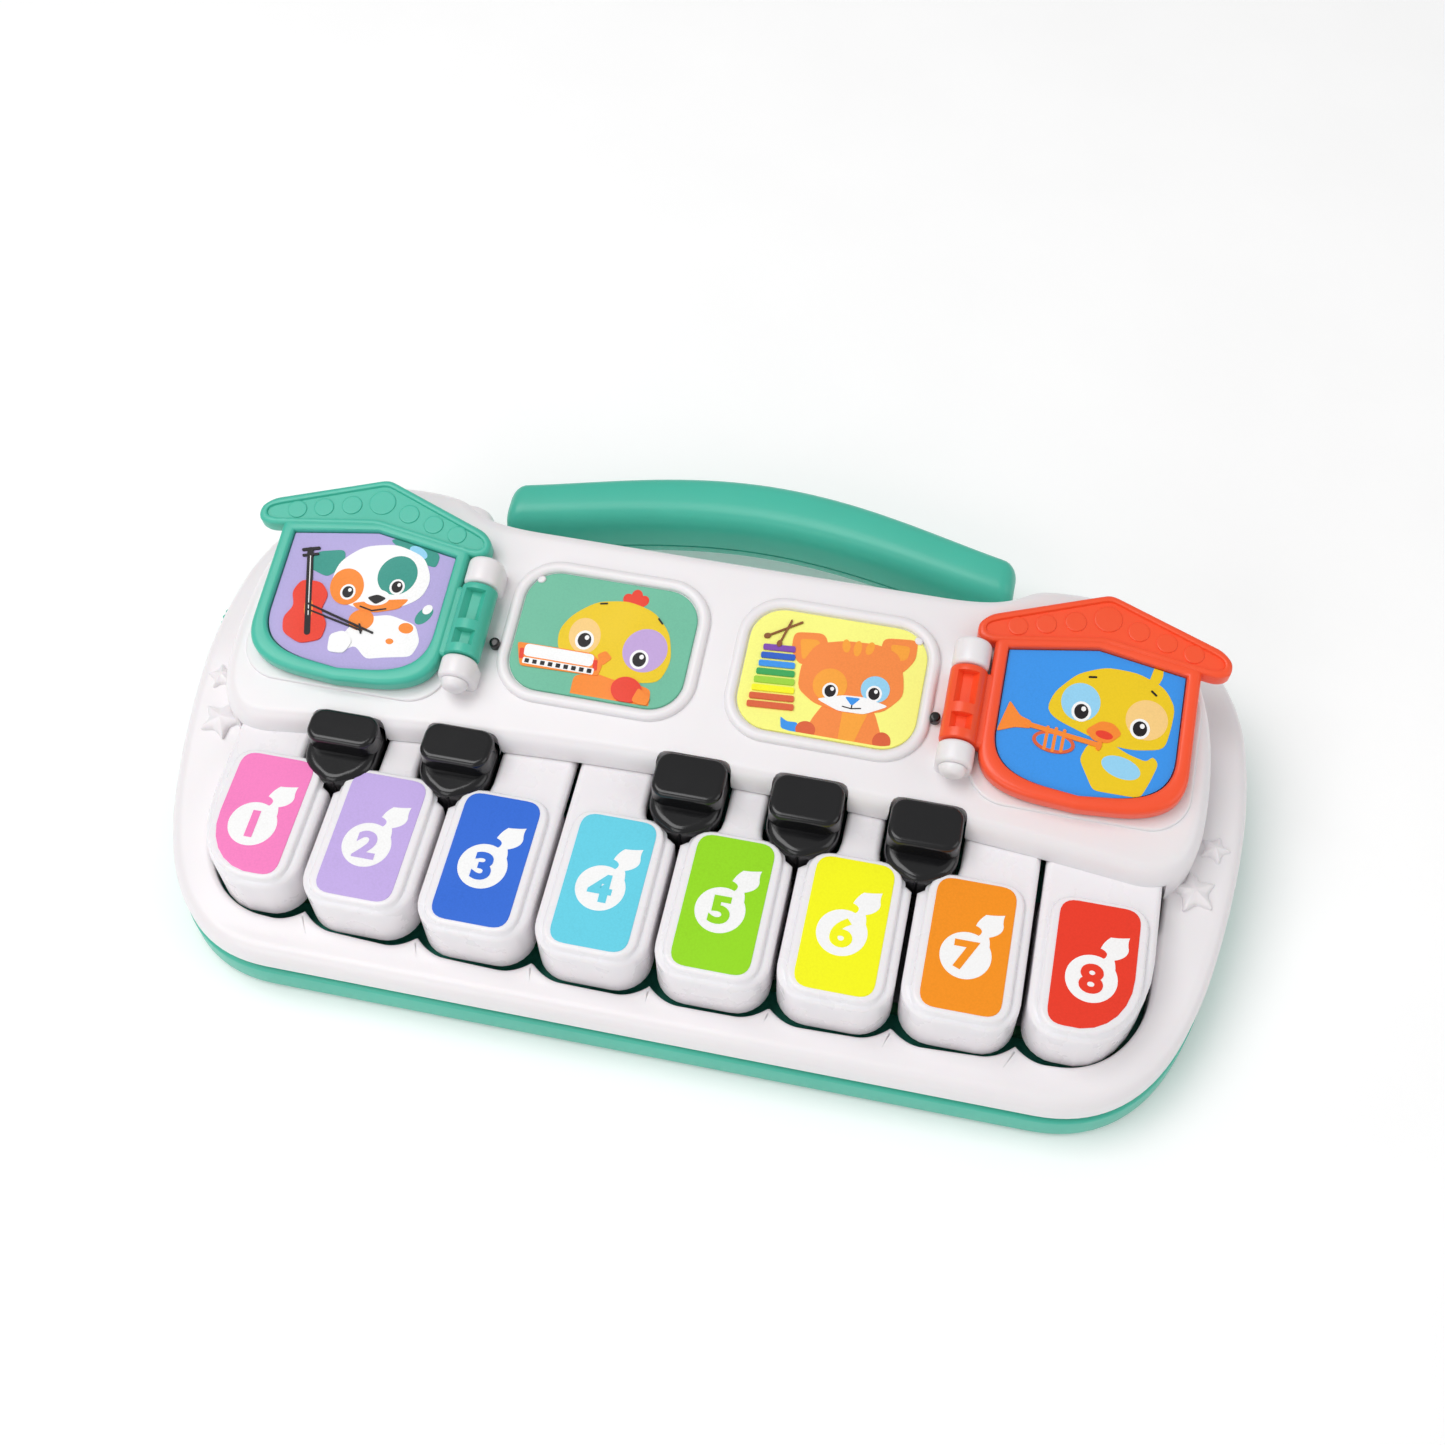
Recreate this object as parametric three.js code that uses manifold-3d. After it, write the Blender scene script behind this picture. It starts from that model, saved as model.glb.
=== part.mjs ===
// Toy electronic keyboard with eight white and five black keys, two picture windows,
// two flip-over house doors and a carrying handle. Millimetres, +X right, +Y back, +Z up.
import * as THREE from 'three';
import { mergeVertices } from 'three/addons/utils/BufferGeometryUtils.js';
import Module from 'manifold-3d';

const wasm = await Module();
wasm.setup();
const { Manifold, Mesh } = wasm;

// ---- driving dimensions (working frame: y = 0 at the key labels, z = 0 at the key tops) ----
const PITCH = 26;             // white key spacing
const GAP = 0.3;              // clearance between separate pieces
const Z_FOOT = -29;           // table
const Z_FLOOR = -28;          // underside of the base
const FLOOR_T = 2;            // base floor thickness
const Z_SEAM = -19;           // parting line between base and top shell
const WALL = 2.3;             // shell thickness
const FRONT_Y = -26;          // front of the case
const REAR_Y = 82;            // rear wall behind the console, also the front of the finger gap
const RIM_Z = -13;            // rim height at the front
const DECK_Y = 31;            // front edge of the console deck
const DECK_Z = 4.5;           // deck height at that edge
const DECK_SLOPE = 0.176;     // rise of the deck towards the back
const DECK_ANGLE = Math.atan(DECK_SLOPE);
const AXLE_Y = 62;            // key axle
const AXLE_Z = -6;
const AXLE_R = 1.5;
const HUB_R = 3.2;
const HINGE_X = 55.5;         // door hinge axis, left and right
const HINGE_W = 4.5;          // its height over the deck
const BARREL_R = 4.1;
const DOOR_X = 82.5;          // middle of a door
const WINDOW = { x: 26.1, v: 24.2, a: 20.3, b: 15.0, bead: 2.6 };
const HANDLE = { end: 62.8, yEnd: 100.6, bow: 11.2, w: 14, zLow: -22, zHigh: -5 };
const WHEEL = { x: -114, y: 56.5, r: 8.5, z0: -14.3, z1: -10.3 };
const SPEAKER = { x: -76, y: 56, r: 22 };
const SCREWS = [[110.2, 8], [90, 84], [36, 74.5], [-110.2, 8], [-90, 84], [-36, 74.5]];
const FEET = [[88, -12], [104, 76], [-88, -12], [-104, 76]];

// ---- materials ----
const paint = (name, color, roughness = 0.35, metalness = 0) =>
  new THREE.MeshStandardMaterial({ name, color, roughness, metalness });
const WHITE = 0xf3eeec, TEAL = 0x3fb39c, BLACK = 0x141416, RED = 0xff5a30;

// ---- solid helpers ----
const toSolid = (geometry) => {
  geometry.deleteAttribute('normal');
  geometry.deleteAttribute('uv');
  const g = mergeVertices(geometry, 1e-4);
  return new Manifold(new Mesh({
    numProp: 3,
    vertProperties: new Float32Array(g.attributes.position.array),
    triVerts: new Uint32Array(g.index.array),
  }));
};
const slabGeometry = (shape, z0, z1, bevel = 0, rise = bevel, steps = 2, curve = 5) => {
  const g = new THREE.ExtrudeGeometry(shape, {
    depth: z1 - z0 - 2 * rise, curveSegments: curve, steps: 1, bevelEnabled: bevel > 0,
    bevelSize: bevel, bevelOffset: -bevel, bevelThickness: rise, bevelSegments: steps,
  });
  return g.translate(0, 0, z0 + rise);
};
const slab = (shape, z0, z1, ...rest) => toSolid(slabGeometry(shape, z0, z1, ...rest));
const box = (x0, x1, y0, y1, z0, z1) =>
  toSolid(new THREE.BoxGeometry(x1 - x0, y1 - y0, z1 - z0)
    .translate((x0 + x1) / 2, (y0 + y1) / 2, (z0 + z1) / 2));
const rod = (r, x0, x1, y, z, n = 12) =>
  toSolid(new THREE.CylinderGeometry(r, r, x1 - x0, n).rotateZ(Math.PI / 2)
    .translate((x0 + x1) / 2, y, z));
const post = (r, x, y, z0, z1, n = 16) =>
  toSolid(new THREE.CylinderGeometry(r, r, z1 - z0, n).rotateX(Math.PI / 2)
    .translate(x, y, (z0 + z1) / 2));
const union = (list) => list.reduce((a, b) => a.add(b));
const cut = (body, list) => list.reduce((a, b) => a.subtract(b), body);

// a rounded rectangle centred on (cx, cy) with half sizes a, b
const roundRect = (cx, cy, a, b, r) => {
  const s = new THREE.Shape();
  s.moveTo(cx - a + r, cy - b).lineTo(cx + a - r, cy - b);
  s.absarc(cx + a - r, cy - b + r, r, -Math.PI / 2, 0);
  s.lineTo(cx + a, cy + b - r).absarc(cx + a - r, cy + b - r, r, 0, Math.PI / 2);
  s.lineTo(cx - a + r, cy + b).absarc(cx - a + r, cy + b - r, r, Math.PI / 2, Math.PI);
  s.lineTo(cx - a, cy - b + r).absarc(cx - a + r, cy - b + r, r, Math.PI, 1.5 * Math.PI);
  return s;
};
const polygon = (points) => new THREE.Shape(points.map(([x, y]) => new THREE.Vector2(x, y)));
// closes the right half of an outline with its mirror image
const mirrored = (path, n = 6) => {
  const half = path.getPoints(n).filter((p, i, all) => !i || p.distanceTo(all[i - 1]) > 1e-3);
  const left = half.slice(1, -1).reverse().map((p) => new THREE.Vector2(-p.x, p.y));
  return new THREE.Shape([...half, ...left]);
};
// moves every side of an outline inwards by d
const inset = (shape, d) => {
  const p = shape.getPoints(4).filter((q, i, all) => !i || q.distanceTo(all[i - 1]) > 1e-3);
  return new THREE.Shape(p.map((q, i) => {
    const a = p[(i + p.length - 1) % p.length], b = p[(i + 1) % p.length];
    const e = q.clone().sub(a).normalize(), f = b.clone().sub(q).normalize();
    const n = new THREE.Vector2(-e.y - f.y, e.x + f.x).normalize();
    return q.clone().addScaledVector(n, d / Math.max(0.5, n.x * -f.y + n.y * f.x));
  }));
};
// lifts the upper part of a slab by a height that varies from front to back
const lift = (geometry, from, rise) => {
  const p = geometry.attributes.position;
  for (let i = 0; i < p.count; i++) {
    if (p.getZ(i) > from) p.setZ(i, p.getZ(i) + rise(p.getY(i)));
  }
  return geometry;
};
const rimRise = (y) => 0.12 * Math.min(Math.max(y + 20, 0), 65);
const deckRise = (y) => DECK_Z + DECK_SLOPE * (Math.min(y, 84) - DECK_Y)
  - 0.03 * Math.max(0, y - 84) ** 2;
// turns a piece drawn flat (x, v, w) onto the sloping deck
const onDeck = (solid) => solid.rotate([DECK_ANGLE * 180 / Math.PI, 0, 0])
  .translate([0, DECK_Y, DECK_Z]);

// ---- outlines seen from above ----
const caseOutline = mirrored(new THREE.Path().moveTo(0, FRONT_Y).lineTo(84, FRONT_Y)
  .bezierCurveTo(104, FRONT_Y, 113, -10, 117, 10).bezierCurveTo(120, 25, 122, 45, 120, 62)
  .bezierCurveTo(118.4, 80, 108, 95, 88, 97.6).quadraticCurveTo(82, 98.6, 71.5, 98.6)
  .quadraticCurveTo(65.2, 98.6, 63.9, 92.5).bezierCurveTo(62.2, 86.5, 57, REAR_Y, 44, REAR_Y)
  .lineTo(0, REAR_Y));
const frontArc = (x) => 28.5 - 6.5e-4 * x * x;
const consoleOutline = mirrored(new THREE.Path().moveTo(0, frontArc(0))
  .lineTo(26, frontArc(26)).lineTo(52, frontArc(52)).lineTo(78, frontArc(78))
  .lineTo(97, frontArc(97)).bezierCurveTo(106, 21.5, 113, 26, 113.2, 38)
  .bezierCurveTo(113.4, 54, 111, 66, 104, 76).bezierCurveTo(97, 86, 88, 92, 75, 93)
  .quadraticCurveTo(67, 93, 65.5, 89).bezierCurveTo(63, 83, 57, 80.5, 46, 80.5).lineTo(0, 80.5));
const bayFront = (x) => -19.2 + 3.3e-4 * x * x;
const bayPath = new THREE.Path().moveTo(0, bayFront(0) + 2.4);
for (let i = 1; i <= 3; i++) {
  const c = (i - 0.5) * PITCH, e = i * PITCH;
  bayPath.lineTo(c - PITCH / 2 + 3, bayFront(c)).lineTo(c + PITCH / 2 - 3, bayFront(c));
  bayPath.lineTo(e, bayFront(e) + 2.4);
}
bayPath.lineTo(81, bayFront(81)).lineTo(88, bayFront(88))
  .bezierCurveTo(98, -15.4, 104.4, -6, 104.4, 4).lineTo(104.4, 34).lineTo(0, 34);
const bayOutline = mirrored(bayPath);

const BLACK_EDGES = [-3, -2, 0, 1, 2];      // boundaries between white keys that hold a black key
const hasBlack = (edge) => BLACK_EDGES.includes(edge);
const arcShift = (edge) => -4.3e-4 * (edge * PITCH) ** 2;   // the black keys follow the console's arc

// ---- case ----
const pieces = [];
const add = (name, solid, material) => pieces.push({ name, solid, material });

const slots = (cx, cy, n, w, len) => Array.from({ length: n }, (_, i) =>
  box(cx - len / 2, cx + len / 2, cy + (i - (n - 1) / 2) * 2 * w - w / 2,
    cy + (i - (n - 1) / 2) * 2 * w + w / 2, Z_FLOOR - 1, Z_FLOOR + FLOOR_T + 1));

const zIn = Z_FLOOR + FLOOR_T;
let base = slab(caseOutline, Z_FLOOR, Z_SEAM - 2, 0.9)
  .add(slab(inset(caseOutline, 1.1), Z_FLOOR + 2, Z_SEAM - GAP))
  .subtract(slab(inset(caseOutline, 3.3), zIn, Z_SEAM + 1));
const cell = { x: 23, y0: 26, y1: 78, top: -10.9 };
base = base.add(cut(box(-cell.x - 1.5, cell.x + 1.5, cell.y0 - 1.5, cell.y1 + 1.1,
  zIn - 0.5, cell.top + 1), [
  box(-cell.x, cell.x, cell.y0, cell.y1, Z_FLOOR - 1, cell.top)]));
base = base.add(box(cell.x + 0.5, 33, 46, 58, zIn - 0.5, -16))
  .add(union([-104, 104].map((x) => box(x - 1.2, x + 1.2, AXLE_Y - 3, AXLE_Y + 3,
    zIn - 0.5, AXLE_Z + 3.2))))
  .add(union([-95, -32, 32, 95].map((x) => box(x - 1, x + 1, -7, 24, zIn - 0.5, -22.3))))
  .add(union([53, 97].map((x) => box(x - 1, x + 1, 38, 74, zIn - 0.5, -15.3))))
  .add(post(1.7, WHEEL.x, WHEEL.y, zIn - 0.5, WHEEL.z1 + 2))
  .add(post(2.9, WHEEL.x, WHEEL.y, zIn - 0.5, WHEEL.z0 - GAP))
  .add(union(SCREWS.map(([x, y]) => post(3.6, x, y, zIn - 0.5, Z_SEAM - GAP))));
base = cut(base, [
  box(-22.7, 22.7, 26.3, 77.7, Z_FLOOR - 1, zIn + 0.5),
  box(22, 31.3, 46.7, 57.3, Z_FLOOR - 1, zIn),
  post(1.7, 27, 52, Z_FLOOR, -17.5),
  ...slots(SPEAKER.x, SPEAKER.y, 7, 2.4, 22),
  box(-49, -39, 49.1, 54.9, Z_FLOOR - 1, zIn + 1),
  rod(AXLE_R + GAP, -107, -101, AXLE_Y, AXLE_Z), rod(AXLE_R + GAP, 101, 107, AXLE_Y, AXLE_Z),
  ...SCREWS.flatMap(([x, y]) => [post(1.75, x, y, Z_FLOOR - 1, Z_SEAM + 1),
    post(3.4, x, y, Z_FLOOR - 1, Z_FLOOR + 3)]),
  ...FEET.map(([x, y]) => post(5.3, x, y, Z_FLOOR - 1, Z_FLOOR + 1)),
]);
add('base_shell', base, paint('teal_abs', TEAL));

const shellBody = (outline, top, bevel, rise, from, lifter, bottom) =>
  toSolid(lift(slabGeometry(outline, bottom - rise, top, bevel, rise, 2), from, lifter))
    .subtract(box(-140, 140, -60, 140, bottom - rise - 1, bottom));
const rim = shellBody(inset(caseOutline, 0.2), RIM_Z, 3, 3, -17, rimRise, Z_SEAM);
const deckBody = shellBody(consoleOutline, 0, 3.4, 4.6, -8, deckRise, Z_SEAM);
const rimCavity = toSolid(lift(slabGeometry(inset(caseOutline, WALL + 0.2), Z_SEAM - 5,
  RIM_Z - 2.2, 1, 1, 1), -17, rimRise));
const deckCavity = toSolid(lift(slabGeometry(inset(consoleOutline, WALL), Z_SEAM - 12,
  -WALL, 2.6, 4, 2), -9, deckRise));

const ringBead = (s) => {
  const w = WINDOW, outer = roundRect(s * w.x, w.v, w.a + w.bead, w.b + w.bead, 10);
  return slab(outer, -2, 1.3, 0.8, 0.8, 1, 5);
};
const star = (cx, cy, r, z0, z1, turn) => {
  const tips = Array.from({ length: 10 }, (_, i) => {
    const a = turn + i * Math.PI / 5, q = i % 2 ? r * 0.5 : r;
    return [cx + q * Math.sin(a), cy + q * Math.cos(a)];
  });
  return slab(polygon(tips.reverse()), z0, z1, 0.5, 0.5, 1);
};
const along = (r, v0, v1, n = 16) =>
  toSolid(new THREE.CylinderGeometry(r, r, v1 - v0, n).translate(0, (v0 + v1) / 2, 0));
const knuckle = (s, v0, v1) => along(BARREL_R, v0, v1).translate([s * HINGE_X, 0, HINGE_W])
  .add(box(s * HINGE_X - BARREL_R, s * HINGE_X + BARREL_R, v0, v1, -1.5, HINGE_W));
const KNUCKLE = { front: [6.6, 11.9], rear: [29.9, 36.4] };
const BARREL = [12.2, 29.6];

let top = cut(rim.add(deckBody), [rimCavity, deckCavity]);
top = top.add(union(SCREWS.map(([x, y]) => post(3.3, x, y, Z_SEAM,
  Math.abs(x) > 105 ? RIM_Z + 2 : deckRise(y) - 1))));
for (const s of [-1, 1]) {
  top = top.add(onDeck(union([ringBead(s), knuckle(s, ...KNUCKLE.front), knuckle(s, ...KNUCKLE.rear),
    slab(roundRect(s * DOOR_X, 20, 24, 18.5, 9), -2, 0.6)])));
  top = top.add(star(s * 110.6, 27.5, 5.4, -10, -5.4, s * 0.25))
    .add(star(s * 115.2, 37, 3.4, -9, -4.4, -s * 0.3));
  const w = WINDOW;
  top = cut(top, [onDeck(slab(roundRect(s * w.x, w.v, w.a, w.b, 8), -1.2, 3)),
    onDeck(post(3.2, s * w.x, w.v, -4, 0)),
    onDeck(slab(roundRect(s * DOOR_X, 20, 17.5, 14, 6), -0.7, 3)),
    onDeck(along(1.5, 2, 40).translate([s * HINGE_X, 0, HINGE_W])),
    onDeck(post(1.5, s * 49.9, 18.6, -6, 3))]);
}
top = top.subtract(slab(bayOutline, Z_SEAM - 6, -0.9));
for (const edge of BLACK_EDGES) {
  const x = edge * PITCH, y1 = 31.9 + arcShift(edge);
  top = top.subtract(slab(roundRect(x, y1 - 8, 8.7, 8, 3), -12, 9));
}
top = cut(top, [box(-124, WHEEL.x + 3, WHEEL.y - 8.6, WHEEL.y + 8.6, WHEEL.z0 - 0.5, WHEEL.z1 + 0.5),
  ...SCREWS.map(([x, y]) => post(1.75, x, y, Z_SEAM - 1, -14))]);
add('top_shell', top, paint('white_abs', WHITE));

// ---- carrying handle, split into an upper and a lower half ----
const handleY = (x) => HANDLE.yEnd + HANDLE.bow * Math.cos(x / HANDLE.end * Math.PI / 2) ** 1.2;
const handlePlan = () => {
  const pts = [], n = 14;
  for (let i = 0; i <= n; i++) {
    const x = -HANDLE.end + 2 * HANDLE.end * i / n;
    pts.push([x, handleY(x) - HANDLE.w / 2 * (0.78 + 0.22 * Math.cos(x / HANDLE.end * 1.4))]);
  }
  for (let i = n; i >= 0; i--) {
    const x = -HANDLE.end + 2 * HANDLE.end * i / n;
    pts.push([x, handleY(x) + HANDLE.w / 2 * (0.78 + 0.22 * Math.cos(x / HANDLE.end * 1.4))]);
  }
  return polygon(pts);
};
const handle = slab(handlePlan(), HANDLE.zLow, HANDLE.zHigh, 3, 3, 2);
const handleMid = (HANDLE.zLow + HANDLE.zHigh) / 2 - 3;
add('handle_upper', handle.subtract(box(-80, 80, 60, 140, -60, handleMid + GAP / 2)),
  paint('teal_abs', TEAL));
add('handle_lower', handle.subtract(box(-80, 80, 60, 140, handleMid - GAP / 2, 20)),
  paint('teal_abs', TEAL));

// ---- windows, panels and doors ----
const sides = [['left', -1], ['right', 1]];
add('chick_window', onDeck(slab(roundRect(-WINDOW.x, WINDOW.v, WINDOW.a - GAP, WINDOW.b - GAP, 7.7),
  -0.9, 0.5)), paint('green_window', 0x80c8ac));
add('cat_window', onDeck(slab(roundRect(WINDOW.x, WINDOW.v, WINDOW.a - GAP, WINDOW.b - GAP, 7.7),
  -0.9, 0.5)), paint('yellow_window', 0xffff82));

const doorFrame = (s, d) => {
  const x = (q) => s * (DOOR_X + q);
  const half = 22.4 - d, low = 2 + d, high = 39 + 0.2 * d;
  const p = new THREE.Shape();
  p.moveTo(x(0), low).lineTo(x(half - 14), low + 0.6);
  p.bezierCurveTo(x(half - 4), low + 1.5, x(half), low + 5, x(half), low + 12);
  p.lineTo(x(half), high - d).lineTo(x(0), high + 3.2 - d).lineTo(x(-half), high - d);
  p.lineTo(x(-half), low + 12);
  p.bezierCurveTo(x(-half), low + 5, x(-half + 4), low + 1.5, x(-half + 14), low + 0.6);
  p.lineTo(x(0), low);
  return p;
};
const roof = (s, d) => {
  const x = (q) => s * (DOOR_X + 1 + q), h = 27 - d;
  return polygon([[x(-h + 1.5), 38.3 + d], [x(-h), 40 + 0.4 * d], [x(-h + 0.8), 42.6 - 0.6 * d],
    [x(0), 52.8 - d], [x(h - 0.8), 42.6 - 0.6 * d], [x(h), 40 + 0.4 * d], [x(h - 1.5), 38.3 + d],
    [x(0), 41.2 + d]]);
};
for (const [side, s] of sides) {
  add(`${side}_under_panel`, onDeck(slab(roundRect(s * DOOR_X, 20, 17.2, 13.7, 5.7), -0.4, 0.5)),
    paint(`${side}_panel_print`, 0xeef3f8));
  let door = slab(doorFrame(s, 0), 1, 5.2, 0.7).add(slab(roof(s, 0), 1, 5.4, 0.6));
  door = cut(door, [slab(doorFrame(s, 3), 2.4, 8), slab(roof(s, 2.2), 4.8, 8)]);
  const arm = box(Math.min(s * HINGE_X, s * 62), Math.max(s * HINGE_X, s * 62), ...BARREL, 1.4, 5);
  door = door.add(arm).add(along(BARREL_R, ...BARREL).translate([s * HINGE_X, 0, HINGE_W]));
  const h = s * HINGE_X;
  door = cut(door, [along(1.5, 5, 38).translate([h, 0, HINGE_W]),
    box(h - 2.2, h + 2.2, 14.4, 18, 6.3, 10), box(h - 2.2, h + 2.2, 20.4, 28, 6.3, 10)]);
  add(`${side}_door`, onDeck(door), paint(`${side}_door_abs`, s < 0 ? TEAL : RED));
  add(`${side}_door_picture`, onDeck(slab(doorFrame(s, 3.3), 2.7, 4.2)),
    paint(`${side}_picture_print`, s < 0 ? 0xb9afde : 0x48a5f2));
  add(`${side}_hinge_pin`, onDeck(along(1.2, 5, 36, 12).add(along(3, 4.2, 6.3, 16))
    .translate([h, 0, HINGE_W])), paint('pin_abs', WHITE));
  add(`${side}_plunger`, onDeck(post(1.2, s * 49.9, 18.6, -3.5, 2.2, 12)
    .add(post(2.2, s * 49.9, 18.6, -4.4, -2.8, 12))), paint('plunger_black', BLACK));
}

// ---- keys ----
const SCALE_COLOURS = [0xfd8bc7, 0xcdb6ec, 0x3c78de, 0x72dbed, 0xa0e324, 0xfefe1e, 0xfb9b20, 0xf1482e];
const whiteKey = (k) => {
  const x = (k - 4.5) * PITCH, y0 = bayFront(x) + 1.1, h = 12.4;
  const left = hasBlack(k - 5), right = hasBlack(k - 4);
  const pad = (d, z) => {
    const s = new THREE.Shape(), lo = y0 + d / 2, w = h - d;
    const c = 4 - d / 2, yr = 13 + arcShift(k - 4), yl = 13 + arcShift(k - 5);
    s.moveTo(x - w + (k === 1 ? 16 : c), lo);
    if (k === 8) s.lineTo(x + w - 16, lo).bezierCurveTo(x + w - 6.5, lo + 1.2, x + w, lo + 10, x + w, lo + 21);
    else s.lineTo(x + w - c, lo).quadraticCurveTo(x + w, lo, x + w, lo + c + z);
    if (right) s.lineTo(x + w, yr - d).bezierCurveTo(x + w - 2, yr + 2, x + 4.3, yr + 2, x + 4.3, yr + 8 - d);
    else s.lineTo(x + w, 21 - d);
    if (left) s.lineTo(x - 4.3, yl + 8 - d).bezierCurveTo(x - 4.3, yl + 2, x - w + 2, yl + 2, x - w, yl - d);
    else s.lineTo(x - w, 21 - d);
    if (k === 1) s.lineTo(x - w, lo + 21).bezierCurveTo(x - w, lo + 10, x - w + 6.5, lo + 1.2, x - w + 16, lo);
    else s.lineTo(x - w, lo + c + z).quadraticCurveTo(x - w, lo, x - w + c, lo);
    return s;
  };
  const xl = left ? 4.3 : h, xr = right ? 4.3 : h;
  let key = slab(pad(0, 2), -14.6, -1.2, 0.8, 0.8, 1, 3);
  key = key.add(slab(pad(2.2, 1), -2.4, 0, 0.6, 0.6, 1, 3)
    .intersect(box(x - 20, x + 20, -30, 16.8, -5, 2)));
  key = key.subtract(box(x - h + 3, x + h - 3, y0 + 5, 12, -16, -3.2));
  key = key.add(box(x - xl, x + xr, 17, 50, -4.6, -1.2))
    .add(box(x - 4.3, x + 4.3, 49, AXLE_Y, -7.5, -2.8))
    .add(box(x - 4.3, x + 4.3, 49, 51, -6, -1.2))
    .add(rod(HUB_R, x - 7.6, x + 7.6, AXLE_Y, AXLE_Z))
    .add(box(x - 3, x + 3, -1, 3, -14, -3));
  return key.subtract(rod(AXLE_R + GAP, x - 9, x + 9, AXLE_Y, AXLE_Z, 12));
};
for (let k = 1; k <= 8; k++) add(`white_key_${k}`, whiteKey(k), paint(`white_key_${k}_abs`, SCALE_COLOURS[k - 1]));

BLACK_EDGES.forEach((edge, n) => {
  const x = edge * PITCH, dy = arcShift(edge), y1 = 31.3 + dy;
  // the caps of the two left keys are shorter
  const c0 = 20 + dy + (edge < -2 ? 2 : 0), c1 = y1 - (edge < 0 ? 2.1 : 0);
  const block = roundRect(x, (17.3 + dy + y1) / 2, 8, (y1 - 17.3 - dy) / 2, 3.6);
  const cap = roundRect(x, (c0 + c1) / 2, 6.9, (c1 - c0) / 2, 2.6);
  let key = slab(block, -7, 1.4, 0.7, 0.7, 1, 3).add(slab(cap, 0, 5.2, 1, 1, 1, 3));
  key = key.add(box(x - 3, x + 3, 17.8 + dy, 21.8 + dy, -13.4, -6))
    .add(box(x - 3.9, x + 3.9, 28 + dy, 52, -5, 0.4)).add(box(x - 3.9, x + 3.9, 50, AXLE_Y, -7.5, -2.8))
    .add(box(x - 3.9, x + 3.9, 50, 52, -6, 0.4)).add(rod(HUB_R, x - 3.9, x + 3.9, AXLE_Y, AXLE_Z));
  key = key.subtract(rod(AXLE_R + GAP, x - 5, x + 5, AXLE_Y, AXLE_Z, 12));
  add(`black_key_${n + 1}`, key, paint(`black_key_${n + 1}_abs`, BLACK, 0.2));
});
add('key_axle', rod(AXLE_R, -105.8, 105.8, AXLE_Y, AXLE_Z, 12), paint('steel', 0x9a9ea3, 0.3, 1));

// ---- inside ----
add('key_board', box(-100, 100, -8, 24, -22, -20.4), paint('board_green', 0x1f6b3a, 0.6));
let strip = box(-98, 98, -6, 23.6, -20.1, -18.9);
for (let k = 1; k <= 8; k++) strip = strip.add(post(3, (k - 4.5) * PITCH, 1, -19.4, -16.8, 10));
for (const edge of BLACK_EDGES) {
  strip = strip.add(post(3, edge * PITCH, 19.8 + arcShift(edge), -19.4, -16.6, 10));
}
add('contact_strip', strip, paint('grey_rubber', 0x5a5a5e, 0.8));
add('main_board', box(50, 100, 38, 74, -15, -13.4), paint('board_green', 0x1f6b3a, 0.6));
const S = SPEAKER;
add('speaker_frame', cut(post(S.r, S.x, S.y, -25.6, -22, 32).add(post(16, S.x, S.y, -22.5, -16.5, 24)),
  [post(S.r - 3, S.x, S.y, -27, -23.4, 32), post(13.6, S.x, S.y, -24, -15, 24)]),
paint('speaker_black', 0x26282b, 0.5));
add('speaker_cone', toSolid(new THREE.LatheGeometry([[0, -24.6], [18.4, -25.4], [18.6, -24.4],
  [0.5, -17.6], [0, -17.6]].map(([a, b]) => new THREE.Vector2(Math.max(a * 0.7, 0), b + 3)), 24)
  .rotateX(Math.PI / 2).translate(S.x, S.y, 0)), paint('paper_cone', 0x3b3833, 0.9));
add('speaker_magnet', post(11, S.x, S.y, -14.2, -11.2, 20), paint('magnet_grey', 0x7b7d80, 0.4, 1));

add('battery_door', box(-22.4, 22.4, 26.6, 77.4, Z_FLOOR, -26.3)
  .add(box(20, 31, 47, 57, Z_FLOOR, -26.3)).subtract(post(1.75, 27, 52, -30, -20).add(post(3.1, 27, 52, -30, -26.7))),
paint('teal_abs', TEAL));
for (let i = 0; i < 3; i++) {
  const flip = i % 2 ? -1 : 1, mid = 52 - 0.6 * flip;
  const body = toSolid(new THREE.CylinderGeometry(7.1, 7.1, 47.6, 20).translate((i - 1) * 15, mid, -18.6));
  const nub = toSolid(new THREE.CylinderGeometry(2.6, 2.6, 3, 12)
    .translate((i - 1) * 15, mid + flip * 24, -18.6));
  add(`battery_${i + 1}`, body.add(nub), paint(`battery_${i + 1}_sleeve`, 0x2f4fa8, 0.4));
}
add('battery_contact_front', box(-22.5, 22.5, 26.3, 26.7, -25.4, -12), paint('nickel', 0xc4c4c0, 0.3, 1));
add('battery_contact_rear', box(-22.5, 22.5, 77.3, 77.7, -25.4, -12), paint('nickel', 0xc4c4c0, 0.3, 1));

const screw = (x, y, head, z0, z1, t) => {
  const cross = box(x - 1.8, x + 1.8, y - 0.4, y + 0.4, z0 - 1, z0 + t / 2)
    .add(box(x - 0.4, x + 0.4, y - 1.8, y + 1.8, z0 - 1, z0 + t / 2));
  return post(head, x, y, z0, z0 + t).add(post(1.4, x, y, z0 + t - 0.3, z1, 10)).subtract(cross);
};
SCREWS.forEach(([x, y], i) => add(`case_screw_${i + 1}`, screw(x, y, 3, -27.1, -14.6, 1.8), paint('zinc', 0xb8b8b4, 0.35, 1)));
add('battery_door_screw', screw(27, 52, 2.8, -27.9, -18, 0.9), paint('zinc', 0xb8b8b4, 0.35, 1));

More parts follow.
